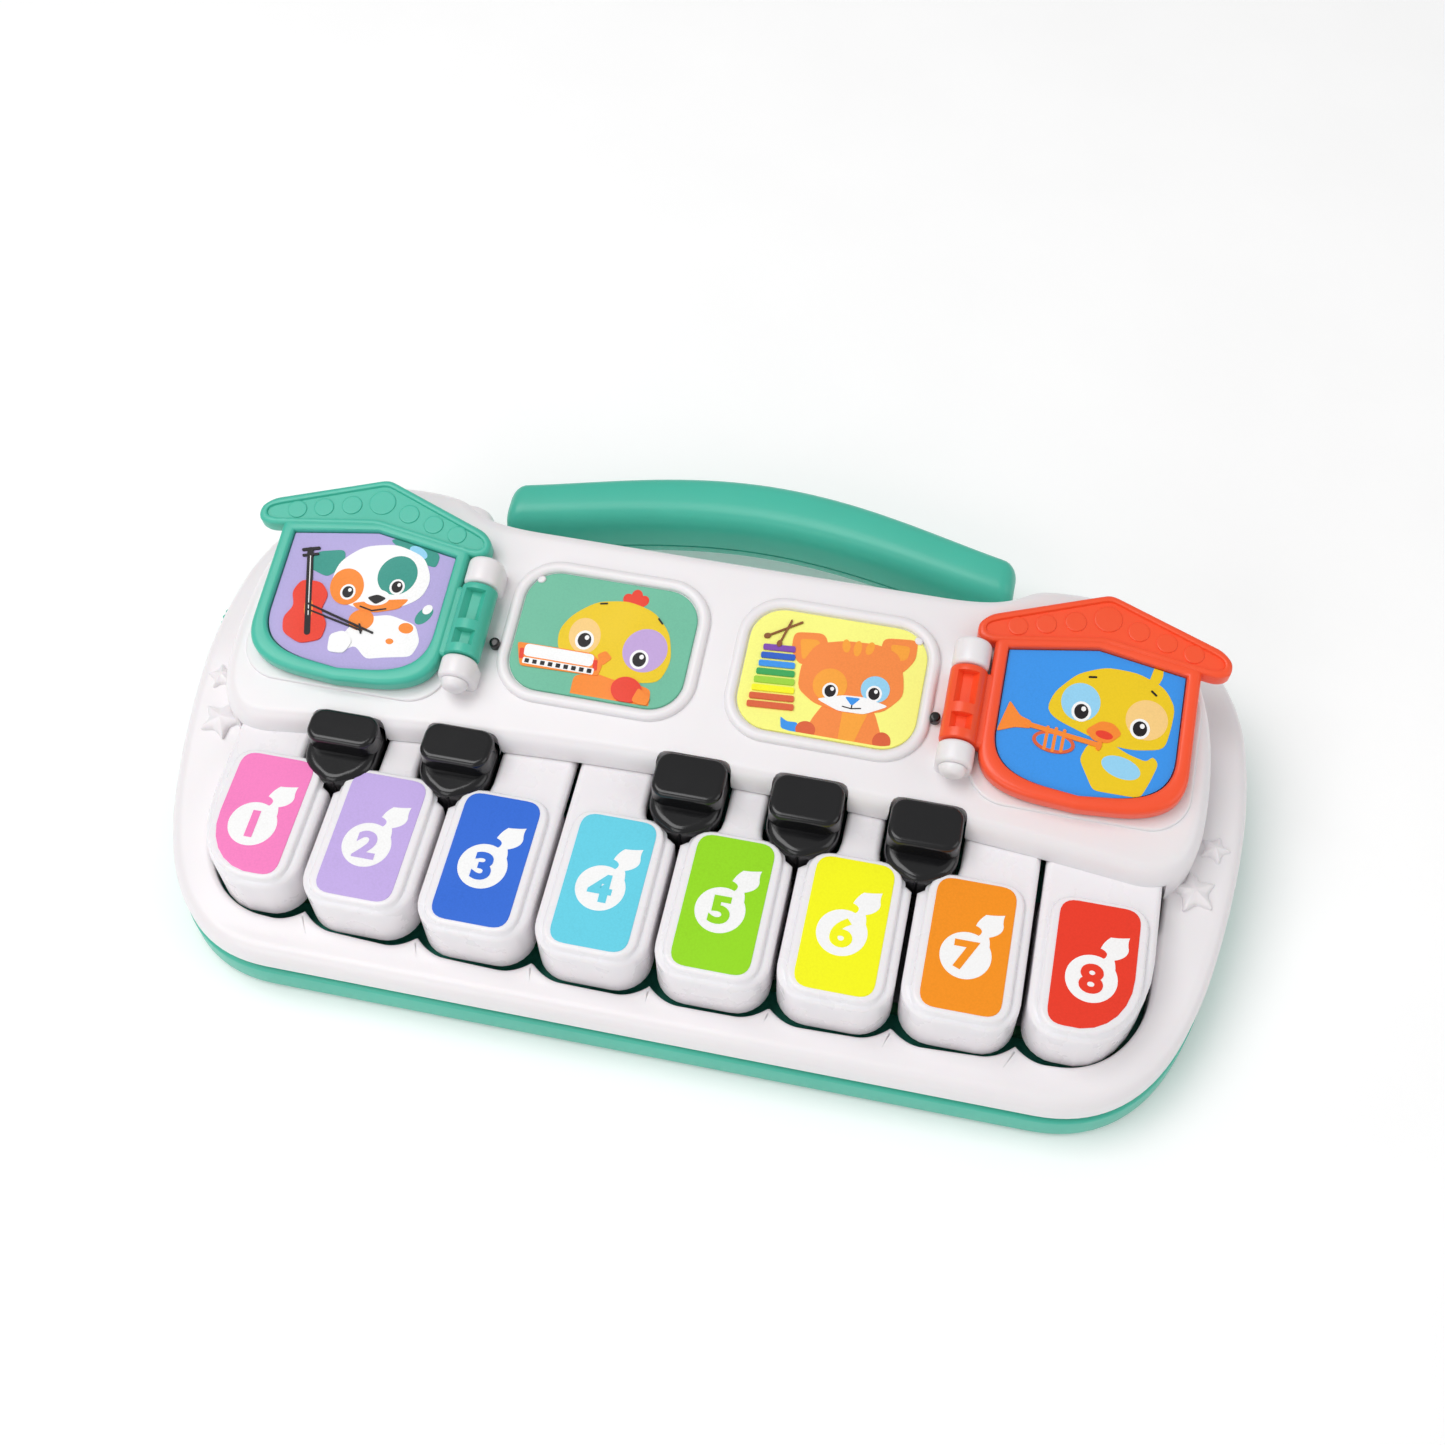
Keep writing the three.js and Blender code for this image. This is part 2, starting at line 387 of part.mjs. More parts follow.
add('power_slider', box(-53.1, -39.1, 46.5, 57.5, zIn + GAP, zIn + 1.6)
  .add(box(-48.6, -43.6, 49.5, 54.5, -27.6, zIn + 1)), paint('slider_black', BLACK));
add('side_wheel', cut(post(WHEEL.r, WHEEL.x, WHEEL.y, WHEEL.z0, WHEEL.z1, 36),
  [post(2, WHEEL.x, WHEEL.y, -20, -5)]), paint('teal_abs', TEAL));
for (const [side, s] of sides) {
  add(`${side}_led`, post(2.5, s * WINDOW.x, 54.9, 1, 5.6, 14), paint('led_lens', 0xe8f0ff, 0.1));
}
FEET.forEach(([x, y], i) => add(`rubber_foot_${i + 1}`, post(5, x, y, Z_FOOT, Z_FLOOR + 0.7, 20),
  paint('grey_rubber', 0x6a6d70, 0.8)));

// ---- the group, with the origin at the bottom centre of its bounding box ----
const bounds = new THREE.Box3();
const made = pieces.map(({ name, solid, material }) => {
  const m = solid.getMesh();
  const g = new THREE.BufferGeometry();
  g.setAttribute('position', new THREE.BufferAttribute(new Float32Array(m.vertProperties), 3));
  g.setIndex(new THREE.BufferAttribute(new Uint32Array(m.triVerts), 1));
  g.computeBoundingBox();
  bounds.union(g.boundingBox);
  return { name, g, material };
});
const middle = bounds.getCenter(new THREE.Vector3());
const group = new THREE.Group();
group.name = 'toy_keyboard';
for (const { name, g, material } of made) {
  g.translate(-middle.x, -middle.y, -bounds.min.z);
  const flat = g.toNonIndexed();
  flat.computeVertexNormals();
  const mesh = new THREE.Mesh(flat, material);
  mesh.name = name;
  group.add(mesh);
}
export default group;
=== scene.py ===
# %% [markdown]
# # A baby's toy keyboard
# The engineer's model gives the frame: every body, joint and clearance is settled there. This lesson puts
# the finished skins on it. It starts by loading that frame and measuring it, because each new piece is
# placed by the frame's own boxes. Lengths are written in millimetres, as on the drawing of the toy.

# %% Load the frame and find the drawing's origin
import bpy
import bmesh
import numpy as np
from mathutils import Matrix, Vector


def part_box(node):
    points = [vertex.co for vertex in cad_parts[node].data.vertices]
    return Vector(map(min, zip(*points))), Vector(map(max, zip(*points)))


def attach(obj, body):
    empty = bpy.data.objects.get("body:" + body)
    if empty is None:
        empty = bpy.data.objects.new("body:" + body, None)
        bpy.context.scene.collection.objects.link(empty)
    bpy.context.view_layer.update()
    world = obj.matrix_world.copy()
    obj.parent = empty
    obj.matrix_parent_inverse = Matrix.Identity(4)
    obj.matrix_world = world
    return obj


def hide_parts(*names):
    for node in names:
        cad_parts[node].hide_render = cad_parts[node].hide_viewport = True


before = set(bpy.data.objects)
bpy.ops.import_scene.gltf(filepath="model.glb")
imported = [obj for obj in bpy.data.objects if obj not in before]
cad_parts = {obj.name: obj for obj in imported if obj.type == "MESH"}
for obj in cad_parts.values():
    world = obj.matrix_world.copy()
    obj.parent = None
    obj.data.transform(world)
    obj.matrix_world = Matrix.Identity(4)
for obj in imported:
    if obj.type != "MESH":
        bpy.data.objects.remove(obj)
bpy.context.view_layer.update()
base_low, base_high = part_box("base_shell")
# the drawing has y = 0 at the key labels, 26 mm behind the case front, and z = 0 at the key tops, 28 mm up
ORIGIN = np.array([(base_low.x + base_high.x) / 2, base_low.y + 0.026, base_low.z + 0.028])


def to_frame(points):
    """Drawing millimetres to metres in the frame: divide by 1000 and add the origin."""
    return np.asarray(points, float) / 1000 + ORIGIN


# %% [markdown]
# Skins of plastic toys are outlines carried through a profile: a wall, a rounded edge and a lid. The
# outlines are drawn with lines and Bezier curves. Rounded edges could come from a bevel modifier, but an
# outline that is moved inwards while it rises gives an even grid, and its size stays known everywhere.

# %% Outlines
def path(start, *steps, n=12):
    """An open line of points. A step of one point is a straight line, two points a quadratic Bezier curve
    and three a cubic one: (1-t)^3 a + 3t(1-t)^2 b + 3t^2(1-t) c + t^3 d, for n values of t."""
    parts = [np.array([start], float)]
    t = np.linspace(0, 1, n + 1)[1:, None]
    for step in steps:
        a, q = parts[-1][-1], np.array(step, float).reshape(-1, 2)
        if len(q) == 1:
            parts.append(a + t * (q[0] - a))
        elif len(q) == 2:
            parts.append((1 - t) ** 2 * a + 2 * t * (1 - t) * q[0] + t * t * q[1])
        else:
            parts.append((1 - t) ** 3 * a + 3 * t * (1 - t) ** 2 * q[0]
                         + 3 * t * t * (1 - t) * q[1] + t ** 3 * q[2])
    return np.concatenate(parts)


def mirror_loop(half):
    """A right half from the front middle to the rear middle, and its mirror image: a closed loop."""
    return np.concatenate([half, half[-2:0:-1] * [-1, 1]])


def even(loop, n, soften=0.0):
    """The closed loop as n points at equal steps. soften blurs it along its length with a bell curve of
    that width, by damping its Fourier waves, which rounds every corner."""
    p = np.vstack([loop, loop[:1]])
    s = np.r_[0, np.cumsum(np.hypot(*np.diff(p, axis=0).T))]
    t = np.linspace(0, s[-1], n, endpoint=False)
    q = np.stack([np.interp(t, s, p[:, 0]), np.interp(t, s, p[:, 1])], 1)
    wave = np.fft.fftfreq(n, s[-1] / n)
    damp = np.exp(-2 * (np.pi * wave * soften) ** 2)[:, None]
    return np.fft.ifft(np.fft.fft(q, axis=0) * damp, axis=0).real


def inward(loop):
    """Unit vectors that point into an anticlockwise loop: the step between a point's two neighbours,
    turned a quarter turn to the left."""
    step = np.roll(loop, -1, 0) - np.roll(loop, 1, 0)
    turned = np.stack([-step[:, 1], step[:, 0]], 1)
    return turned / np.linalg.norm(turned, axis=1, keepdims=True)


def shrink(loop, d):
    """Every point moved into the loop by d, or out of it where d is negative."""
    return loop + np.asarray(d).reshape(-1, 1) * inward(loop)


def rounded(cx, cy, a, b, r, n=8):
    """A rectangle with half sizes a and b whose corners are quarter circles of radius r."""
    turn = np.linspace(0, np.pi / 2, n + 1)
    quarter = np.concatenate([turn - np.pi / 2, turn, turn + np.pi / 2, turn + np.pi])
    corner = np.repeat([[1, -1], [1, 1], [-1, 1], [-1, -1]], n + 1, axis=0)
    return [cx, cy] + corner * [a - r, b - r] + r * np.stack([np.cos(quarter), np.sin(quarter)], 1)


def oval(cx, cy, a, b, turn=0.0, n=40):
    """An ellipse with half sizes a and b, turned by that many degrees."""
    t, q = np.linspace(0, 2 * np.pi, n, endpoint=False), np.radians(turn)
    x, y = a * np.cos(t), b * np.sin(t)
    return np.stack([cx + x * np.cos(q) - y * np.sin(q), cy + x * np.sin(q) + y * np.cos(q)], 1)


print("outline of a 40 x 30 lid:", rounded(0, 0, 20, 15, 8).shape)


# %% [markdown]
# A skin is made of rows of points. Each row is one outline at one step of the profile, and quads join each
# row to the next. A curve with a bevel profile would sweep the same shape, but it hides its faces until it
# is converted; rows keep every point in reach, so a height can still be changed by a formula.

# %% Skins from rows of points
def loft(rows, low=True, high=True, ring=False):
    """One skin over rows of points, rows[i, j] being point j of row i, anticlockwise from above. Quads join
    neighbouring rows; a flat face closes each end, or ring joins the last row to the first."""
    rows = np.asarray(rows, float)
    m, n = rows.shape[:2]
    i = np.arange(m if ring else m - 1)[:, None] * n
    j = np.arange(n)[None]
    k, up = (j + 1) % n, (i + n) % (m * n)
    faces = np.stack([i + j, i + k, up + k, up + j], -1).reshape(-1, 4).tolist()
    if low and not ring:
        faces.append(list(range(n))[::-1])
    if high and not ring:
        faces.append(list(range((m - 1) * n, m * n)))
    return rows.reshape(-1, 3), faces


def raised(outline, profile, **ends):
    """outline(d) is a loop moved in by d, and profile is a list of (d, height): the loop at each step of
    the profile, lofted."""
    return loft([np.column_stack([outline(d), np.full(len(outline(d)), h)]) for d, h in profile], **ends)


def round_over(d, top, r, steps=5):
    """Profile of a rounded edge: a quarter circle from the wall at inset d to the lid at height top, and a
    narrow flat border that keeps the lid's shading flat."""
    a = np.linspace(0, np.pi / 2, steps + 1)
    return [(d + r * (1 - c), top - r + r * s) for c, s in zip(np.cos(a), np.sin(a))] + [(d + r + 0.25, top)]


DECK_Y, DECK_Z, DECK_SLOPE = 31, 4.5, 0.176       # the deck's front edge, and how much it rises per mm


def on_deck(shell):
    """Turns a skin drawn flat as (x, v, w) onto the sloping deck: v runs up the slope and w stands square to
    it, so y = 31 + v cos - w sin and z = 4.5 + v sin + w cos of the deck's angle."""
    x, v, w = shell[0].T
    c, s = np.cos(np.arctan(DECK_SLOPE)), np.sin(np.arctan(DECK_SLOPE))
    return np.stack([x, DECK_Y + v * c - w * s, DECK_Z + v * s + w * c], 1), shell[1]


print("deck angle, degrees:", round(np.degrees(np.arctan(DECK_SLOPE)), 2))


# %% [markdown]
# The toy's plastics are injection moulded, so their colour is nearly even, but a mould leaves a faint
# texture, slow flow marks and a gloss that wanders. A material could be one flat colour with a gloss
# value, and it would look like paint in a diagram. Here two noises in object space vary the shade and the
# roughness, and a third makes the fine grain that breaks up the highlights.

# %% Moulded plastic
def linear(r, g, b):
    """A screen colour from 0 to 255 as linear light: ((c + 0.055) / 1.055) ^ 2.4, or c / 12.92 when dark."""
    c = np.array([r, g, b]) / 255
    return tuple(np.where(c > 0.04045, ((c + 0.055) / 1.055) ** 2.4, c / 12.92)) + (1.0,)


def noise(nodes, links, where, scale, detail=2.0):
    """A noise of that many waves per metre, on object coordinates."""
    n = nodes.new("ShaderNodeTexNoise")
    n.inputs["Scale"].default_value, n.inputs["Detail"].default_value = scale, detail
    links.new(where, n.inputs["Vector"])
    return n.outputs["Fac"]


def ranged(nodes, links, value, low, high):
    """Maps the middle of a noise, 0.35 to 0.65, to low and high."""
    m = nodes.new("ShaderNodeMapRange")
    for socket, v in (("From Min", 0.35), ("From Max", 0.65), ("To Min", low), ("To Max", high)):
        m.inputs[socket].default_value = v
    links.new(value, m.inputs["Value"])
    return m.outputs["Result"]


def blend_colours(nodes, links, factor, a, b):
    """Colour a where factor is 0 and b where it is 1."""
    m = nodes.new("ShaderNodeMix")
    m.data_type = "RGBA"
    m.inputs["A"].default_value, m.inputs["B"].default_value = a, b
    links.new(factor, m.inputs["Factor"])
    return m.outputs["Result"]


def start_material(name):
    """A new material, its nodes, links, shader and object coordinates."""
    m = bpy.data.materials.new(name)
    m.use_nodes = True
    nodes, links = m.node_tree.nodes, m.node_tree.links
    where = nodes.new("ShaderNodeTexCoord").outputs["Object"]
    return m, nodes, links, nodes["Principled BSDF"], where


def plastic(name, rgb, rough=0.3, coat=0.0, grain=0.12, shade=0.05, metal=0.0, soft=0.0):
    """Moulded plastic: slow flow marks in the shade, wandering gloss, and fine grain in the bump."""
    m, nodes, links, shader, where = start_material(name)
    c = np.array(linear(*rgb))
    dark = tuple(c[:3] * (1 - shade)) + (1.0,)
    light = tuple(np.minimum(c[:3] * (1 + shade / 2), 1)) + (1.0,)
    marks = ranged(nodes, links, noise(nodes, links, where, 22, 3), 0, 1)
    links.new(blend_colours(nodes, links, marks, dark, light), shader.inputs["Base Color"])
    gloss = noise(nodes, links, where, 140, 4)
    links.new(ranged(nodes, links, gloss, rough * 0.93, rough * 1.08), shader.inputs["Roughness"])
    bump = nodes.new("ShaderNodeBump")
    bump.inputs["Strength"].default_value, bump.inputs["Distance"].default_value = grain, 0.00012
    links.new(noise(nodes, links, where, 2600, 2), bump.inputs["Height"])
    links.new(bump.outputs["Normal"], shader.inputs["Normal"])
    shader.inputs["Metallic"].default_value = metal
    shader.inputs["Coat Weight"].default_value = coat
    shader.inputs["Coat Roughness"].default_value = 0.08
    shader.inputs["Subsurface Weight"].default_value = soft
    shader.inputs["Subsurface Scale"].default_value = 0.002
    return m


white_abs = plastic("white_abs", (240, 236, 238), rough=0.32, coat=0.06, shade=0.012, soft=0.06, grain=0.08)
key_white = plastic("key_white", (244, 240, 243), rough=0.28, coat=0.08, shade=0.012, soft=0.06, grain=0.08)
teal_abs = plastic("teal_abs", (72, 190, 166), rough=0.34, shade=0.06, soft=0.05)
red_abs = plastic("red_abs", (255, 86, 44), rough=0.32, shade=0.05, soft=0.05)
black_gloss = plastic("black_gloss", (17, 17, 19), rough=0.2, coat=0.12, shade=0.2, grain=0.06)
print("plastics", [m.name for m in bpy.data.materials if m.name.endswith(("abs", "gloss", "white"))])


# %% [markdown]
# A moulding is one solid, but it is easier to draw as a few closed skins that sink into one another. A
# boolean could fuse them, and would leave slivers along each seam. Here they are only joined into one mesh,
# and the mesh rides on the body it belongs to, so that it follows that body's joint.


def piece(name, shells, finishes, body, stands_for=(), crease=32):
    """Joins (skin, finish number) pairs into one mesh in the frame, shades it smooth except where faces
    meet at more than crease degrees, and hands it to the body it moves with."""
    points, faces, finish, count = [], [], [], 0
    for (verts, polygons), number in shells:
        faces += [[i + count for i in f] for f in polygons]
        finish += [number] * len(polygons)
        points.append(to_frame(verts))
        count += len(verts)
    mesh = bpy.data.meshes.new(name)
    mesh.from_pydata(np.concatenate(points).tolist(), [], faces)
    mesh.polygons.foreach_set("material_index", finish)
    for m in finishes:
        mesh.materials.append(m)
    work = bmesh.new()
    work.from_mesh(mesh)
    bmesh.ops.remove_doubles(work, verts=work.verts, dist=2e-7)
    work.to_mesh(mesh)
    work.free()
    mesh.shade_smooth()
    mesh.set_sharp_from_angle(angle=np.radians(crease))
    obj = bpy.data.objects.new(name, mesh)
    bpy.context.scene.collection.objects.link(obj)
    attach(obj, body)
    if stands_for:
        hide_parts(*stands_for)


# %% [markdown]
# The case is two shells. The teal base is a shallow tray; its wall shows as a band round the toy, and a
# groove parts it from the white top. The underside, with its slots, screw wells and battery door, is
# already right in the frame, so only the wall gets a finer skin: its outline is the same curve, drawn with
# more points, and it lies a hair outside the coarse one.

# %% The case outline and the teal wall
def case_half(n):
    """Right half of the case: flat front, wide corner, bulging side, rear lobe and the hand opening."""
    return path((0, -26), [(84, -26)], [(104, -26), (113, -10), (117, 10)], [(120, 25), (122, 45), (120, 62)],
                [(118.4, 80), (108, 95), (88, 97.6)], [(82, 98.6), (71.5, 98.6)],
                [(65.2, 98.6), (63.9, 92.5)],
                [(62.2, 86.5), (57, 82), (44, 82)], [(0, 82)], n=n)


case_loop = even(mirror_loop(case_half(24)), 560)
SKIN = 0.06                           # how far the wall's skin stands outside the frame's own wall
low_bend, high_bend = np.linspace(0.2, np.pi / 2, 4), np.linspace(0.3, np.pi / 2, 4)
wall_profile = [(2.2, -27.9), (0.9, -28.04)]
wall_profile += [(0.9 * (1 - np.sin(a)) - SKIN, -27.12 - 0.92 * np.cos(a)) for a in low_bend]
wall_profile += [(-SKIN, -24), (-SKIN, -21.9)]
wall_profile += [(0.9 * (1 - np.cos(a)) - SKIN, -21.85 + 0.9 * np.sin(a)) for a in high_bend]
wall_profile += [(1.0, -20.95), (1.02, -19.25), (2.2, -19.25)]
wall = raised(lambda d: shrink(case_loop, d), wall_profile, ring=True)
piece("base_wall", [(wall, 0)], [teal_abs], "case")
print("teal wall, mm:", np.ptp(wall[0], axis=0).round(1))

# %% [markdown]
# The low white rim runs round the key bay. In front of the keys its inner edge rises in a small cusp
# between each pair of key corners. It is a ring: the case outline on one side, the bay outline on the
# other, with the same number of points in each stretch so that the rows run straight across.

# %% Heights of the rim
PITCH = 26.0                          # from one white key to the next


def bay_front(x):
    """The bay's front edge bows: it comes forward by 0.33 mm per thousand square millimetres of x."""
    return -19.2 + 3.3e-4 * x * x


def cusp(x):
    """Height of the cusps between keys: 3.1 (1 - q / 7)^2, where q is the distance to the key boundary."""
    q = np.abs(x - PITCH * np.round(x / PITCH)).clip(0, 7)
    return 0.3 + np.where(np.abs(x) < 86, 3.1 * (1 - q / 7) ** 2, 0)


def rim_rise(y):
    """The rim climbs 12 mm in 100 from y = -20 to y = 45."""
    return 0.12 * np.clip(y + 20, 0, 65)


print("cusp height, mm:", cusp(0.0), "rim's climb to the rear, mm:", rim_rise(45.0))

# %% [markdown]
# Both borders of the ring are drawn stretch by stretch, front, corner, side, lobe and hand opening, and a
# stretch has as many points on one border as on the other. The row between them is then a plain blend.

# %% The white rim
def sections(*parts):
    """Several open lines end to end, without the repeated end points."""
    return np.concatenate([parts[0]] + [p[1:] for p in parts[1:]])


front = np.linspace(0, 84, 169)
outer_half = sections(np.stack([front, np.full(169, -26.0)], 1),
                      path((84, -26), [(104, -26), (113, -10), (117, 10)], n=24),
                      path((117, 10), [(120, 25), (122, 45), (120, 62)], n=16),
                      path((120, 62), [(118.4, 80), (108, 95), (88, 97.6)], n=24),
                      path((88, 97.6), [(82, 98.6), (71.5, 98.6)], n=4),
                      path((71.5, 98.6), [(65.2, 98.6), (63.9, 92.5)], n=8),
                      path((63.9, 92.5), [(62.2, 86.5), (57, 82), (44, 82)], n=12),
                      path((44, 82), [(0, 82)], n=12))
along_bay = front * 88 / 84
well_half = sections(np.stack([along_bay, bay_front(along_bay) + cusp(along_bay)], 1),
                     path((88, bay_front(88.0) + 0.3), [(98, -15.4), (104.4, -6), (104.4, 4)], n=24),
                     path((104.4, 4), [(104.4, 34)], n=16),
                     path((104.4, 34), [(104.4, 56), (95, 76), (78, 82)], n=24),
                     path((78, 82), [(73, 82.4), (69, 81.6)], n=4),
                     path((69, 81.6), [(64, 80.5), (61, 77)], n=8),
                     path((61, 77), [(57, 74), (52, 73), (44, 73)], n=12), path((44, 73), [(0, 73)], n=12))
outer_loop, well_loop = mirror_loop(outer_half), mirror_loop(well_half)


def rim_row(xy, z, lifted=True):
    """A row of the rim at height z, plus the climb at each point's own y."""
    return np.column_stack([xy, z + rim_rise(xy[:, 1]) * lifted])


RIM_FOOT, RIM_TOP, OUTER_R, LIP_R = -19.0, -13.0, 3.0, 1.3
edge, lip = shrink(outer_loop, OUTER_R + 0.2), shrink(well_loop, -LIP_R)
rows = [rim_row(shrink(outer_loop, 0.2), RIM_FOOT, False)]
for a in np.linspace(0, np.pi / 2, 8):
    rows.append(rim_row(shrink(outer_loop, 0.2 + OUTER_R * (1 - np.cos(a))),
                        RIM_TOP - OUTER_R * (1 - np.sin(a))))
for t in (0.08, 0.3, 0.5, 0.7, 0.92, 1):
    rows.append(rim_row(edge + t * (lip - edge), RIM_TOP))
for a in np.linspace(0.25, np.pi / 2, 6):
    rows.append(rim_row(shrink(well_loop, -LIP_R * (1 - np.sin(a))), RIM_TOP - LIP_R * (1 - np.cos(a))))
rows.append(rim_row(well_loop, RIM_FOOT, False))
piece("rim", [(loft(rows, ring=True), 0)], [white_abs], "case")
print("rim points per row:", len(outer_loop))

# %% [markdown]
# Behind the keys stands the console: a bowed front wall, notched for each black key, a soft edge and a
# deck that slopes towards the player. The deck's height is a function of y, and near the front edge the
# rounding is a quarter ellipse that depends only on the distance behind the front line, so a notch cuts
# cleanly through it. The walls are a thin shell, because the keys' necks move inside.

# %% Lines and heights of the console
BLACK_EDGES = (-3, -2, 0, 1, 2)       # boundaries between white keys that hold a black key


def front_line(x):
    """The foot of the console's front wall."""
    return 28.5 - 6.5e-4 * x * x


def deck_height(y):
    """The deck rises 0.176 per millimetre and falls away behind y = 79."""
    return DECK_Z + DECK_SLOPE * (np.minimum(y, 84) - DECK_Y) - 0.045 * np.maximum(0, y - 79) ** 2


def arc_shift(edge):
    """How far a black key lies forward of the middle one, to follow the bowed wall."""
    return -4.3e-4 * (edge * PITCH) ** 2


EDGE_DEPTH, EDGE_HEIGHT = 3.4, 4.6


def edge_drop(q):
    """Quarter ellipse: how far the surface lies below the deck at q behind the wall."""
    return EDGE_HEIGHT * (1 - np.sqrt(1 - (1 - np.clip(q / EDGE_DEPTH, 0, 1)) ** 2))


def notch_back(edge):
    """The rear wall of a notch; the two on the left are shallower."""
    return 31.8 + arc_shift(edge) - (1.6 if edge < 0 else 0)


print("wall's bow, mm:", round(front_line(0.0) - front_line(97.0), 2), "notch rear:", round(notch_back(0), 2))

# %% [markdown]
# The console's outline is one loop: the bowed front wall with five notches, then the side and rear. Points
# of the front wall move straight back as the edge is rounded, and all others move square to the wall, so
# the loop keeps its count of points from the foot to the middle of the deck.

# %% The console's outline
def notch(x):
    """The cut for one black key, from its left mouth corner round to its right one."""
    back, a, b = notch_back(x / PITCH), front_line(x - 9), front_line(x + 9)
    return path((x - 9, a), [(x - 8.4, a), (x - 8.4, a + 0.6)], [(x - 8.4, back - 2.6)],
                [(x - 8.4, back), (x - 5.8, back)], [(x + 5.8, back)],
                [(x + 8.4, back), (x + 8.4, back - 2.6)],
                [(x + 8.4, b + 0.6)], [(x + 8.4, b), (x + 9, b)], n=4)


def plain_front(x0, x1):
    """The bowed wall between two notches, a point about every 1.5 mm."""
    x = np.linspace(x0, x1, max(3, int((x1 - x0) / 1.5)))[1:-1]
    return np.stack([x, front_line(x)], 1)


FRONT_END = 97.0
mouths = [e * PITCH for e in BLACK_EDGES]
starts, stops = [-FRONT_END] + [x + 9 for x in mouths], [x - 9 for x in mouths] + [FRONT_END]
front_parts = [np.array([[-FRONT_END, front_line(FRONT_END)]])]
for x0, x1, x in zip(starts, stops, mouths):
    front_parts += [plain_front(x0, x1), notch(x)]
console_front = np.concatenate(front_parts + [plain_front(starts[-1], stops[-1])])
side = path((FRONT_END, front_line(FRONT_END)), [(104.6, 21.8), (109.9, 26.5), (110.5, 38)],
            [(111.2, 54), (109, 65), (103, 75)],
            [(97.5, 84), (90, 88.4), (78, 89)], [(69, 89), (65.5, 85.6)],
            [(62, 81.6), (57, 80.5), (46, 80.5)], [(0, 80.5)], n=20)
around = np.concatenate([side, side[-2:0:-1] * [-1, 1]])
console_loop = np.concatenate([console_front, around])
is_front = np.arange(len(console_loop)) < len(console_front)
foot = np.where(is_front, front_line(console_loop[:, 0]), console_loop[:, 1])
depth = console_loop[:, 1] - foot
into = inward(console_loop)
into[is_front] = [0, 1]


def console_row(d):
    """The outline moved in by d: straight back along the front, square to the wall elsewhere."""
    xy = console_loop + into * d
    xy[:, 1] = np.where(is_front, np.maximum(console_loop[:, 1] + 0.01 * d, foot + d), xy[:, 1])
    return xy, np.where(is_front, xy[:, 1] - foot, d)


print("console outline points:", len(console_loop), "in the front wall:", is_front.sum())

# %% [markdown]
# The rows go from the foot over the rounded edge and shrink towards a spine along the deck's middle, where
# the last one closes. Inside, the same loop moved in by the wall's thickness makes the hollow. It could
# have been cut out with a boolean, but over the keys the wall has to end higher than beside them.

# %% The console
rows = []
for d in EDGE_DEPTH * (1 - np.cos(np.linspace(0, np.pi / 2, 10))):
    xy, q = console_row(d)
    rows.append(np.column_stack([xy, deck_height(xy[:, 1]) - edge_drop(q)]))
brink = console_row(EDGE_DEPTH + 0.5)[0]
spine = np.stack([np.clip(brink[:, 0], -86, 86), np.full(len(brink), 57.0)], 1)
for t in (0, 0.1, 0.2, 0.32, 0.45, 0.6, 0.75, 0.88, 0.96):
    xy = brink + t * (spine - brink)
    rows.append(np.column_stack([xy, deck_height(xy[:, 1])]))
over_keys = is_front | (np.abs(console_loop[:, 0]) < 104.6) & (console_loop[:, 1] < 34)
WALL, SIDE_FOOT = 2.3, -12.0
bottom = np.where(over_keys, -0.9 + 1.7 * np.clip(depth / 3, 0, 1), SIDE_FOOT)
inner = np.where(is_front[:, None], np.stack([console_loop[:, 0], foot + 6], 1), console_loop + into * WALL)
ceiling = inner + 0.9 * (spine - inner)
hollow = [np.column_stack([ceiling, deck_height(ceiling[:, 1]) - WALL]),
          np.column_stack([inner, deck_height(inner[:, 1]) - WALL]),
          np.column_stack([inner, np.where(over_keys, 0.8, SIDE_FOOT)]),
          np.column_stack([console_loop, bottom])]
piece("console", [(loft(hollow + rows), 0)], [white_abs], "case", ["top_shell"])

# %% [markdown]
# Raised details sit on the deck: a round bead frames each window, a low platform carries each door, and
# small stars decorate the rim. A bead is a half-round profile carried along a rounded rectangle. A star
# could be an extruded polygon; blurring its outline and swelling it like a cushion gives the moulded look.

# %% Beads, platforms and stars
WINDOW_X, WINDOW_V, DOOR_X, HINGE_X, HINGE_W = 26.1, 24.2, 82.5, 55.5, 4.5
SIDES = (("left", -1), ("right", 1))


def bead(s):
    """Half-round frame: its width goes from 0 to 2.6 outside the lens while its height follows a sine."""
    a = np.linspace(0, np.pi, 9)
    profile = [(2.7, -0.6)] + [(1.35 + 1.35 * np.cos(q), 1.3 * np.sin(q) ** 0.7) for q in a[:-1]]
    profile += [(0.0, 0.1), (0.0, -0.6)]
    return raised(lambda e: rounded(s * WINDOW_X, WINDOW_V, 20.25 + e, 14.95 + e, 7.9 + e, 14), profile,
                  ring=True)


def star(x, y, r, z, turn):
    """Ten points at r and half of r, blurred, then swollen: the height grows with the square root of the
    way in from the edge."""
    a = turn + np.arange(10) * np.pi / 5
    reach = np.where(np.arange(10) % 2, 0.52, 1.0) * r
    loop = even(np.stack([-reach * np.sin(a), reach * np.cos(a)], 1), 120, 0.45)
    ups = np.linspace(0, 1, 9)[:-1]
    rows = [np.column_stack([loop, np.full(120, -3.0)])]
    rows += [np.column_stack([loop * (1 - q), np.full(120, 1.5 * q ** 0.5 + 0.35)]) for q in ups]
    return loft([row + [x, y, z] for row in rows])


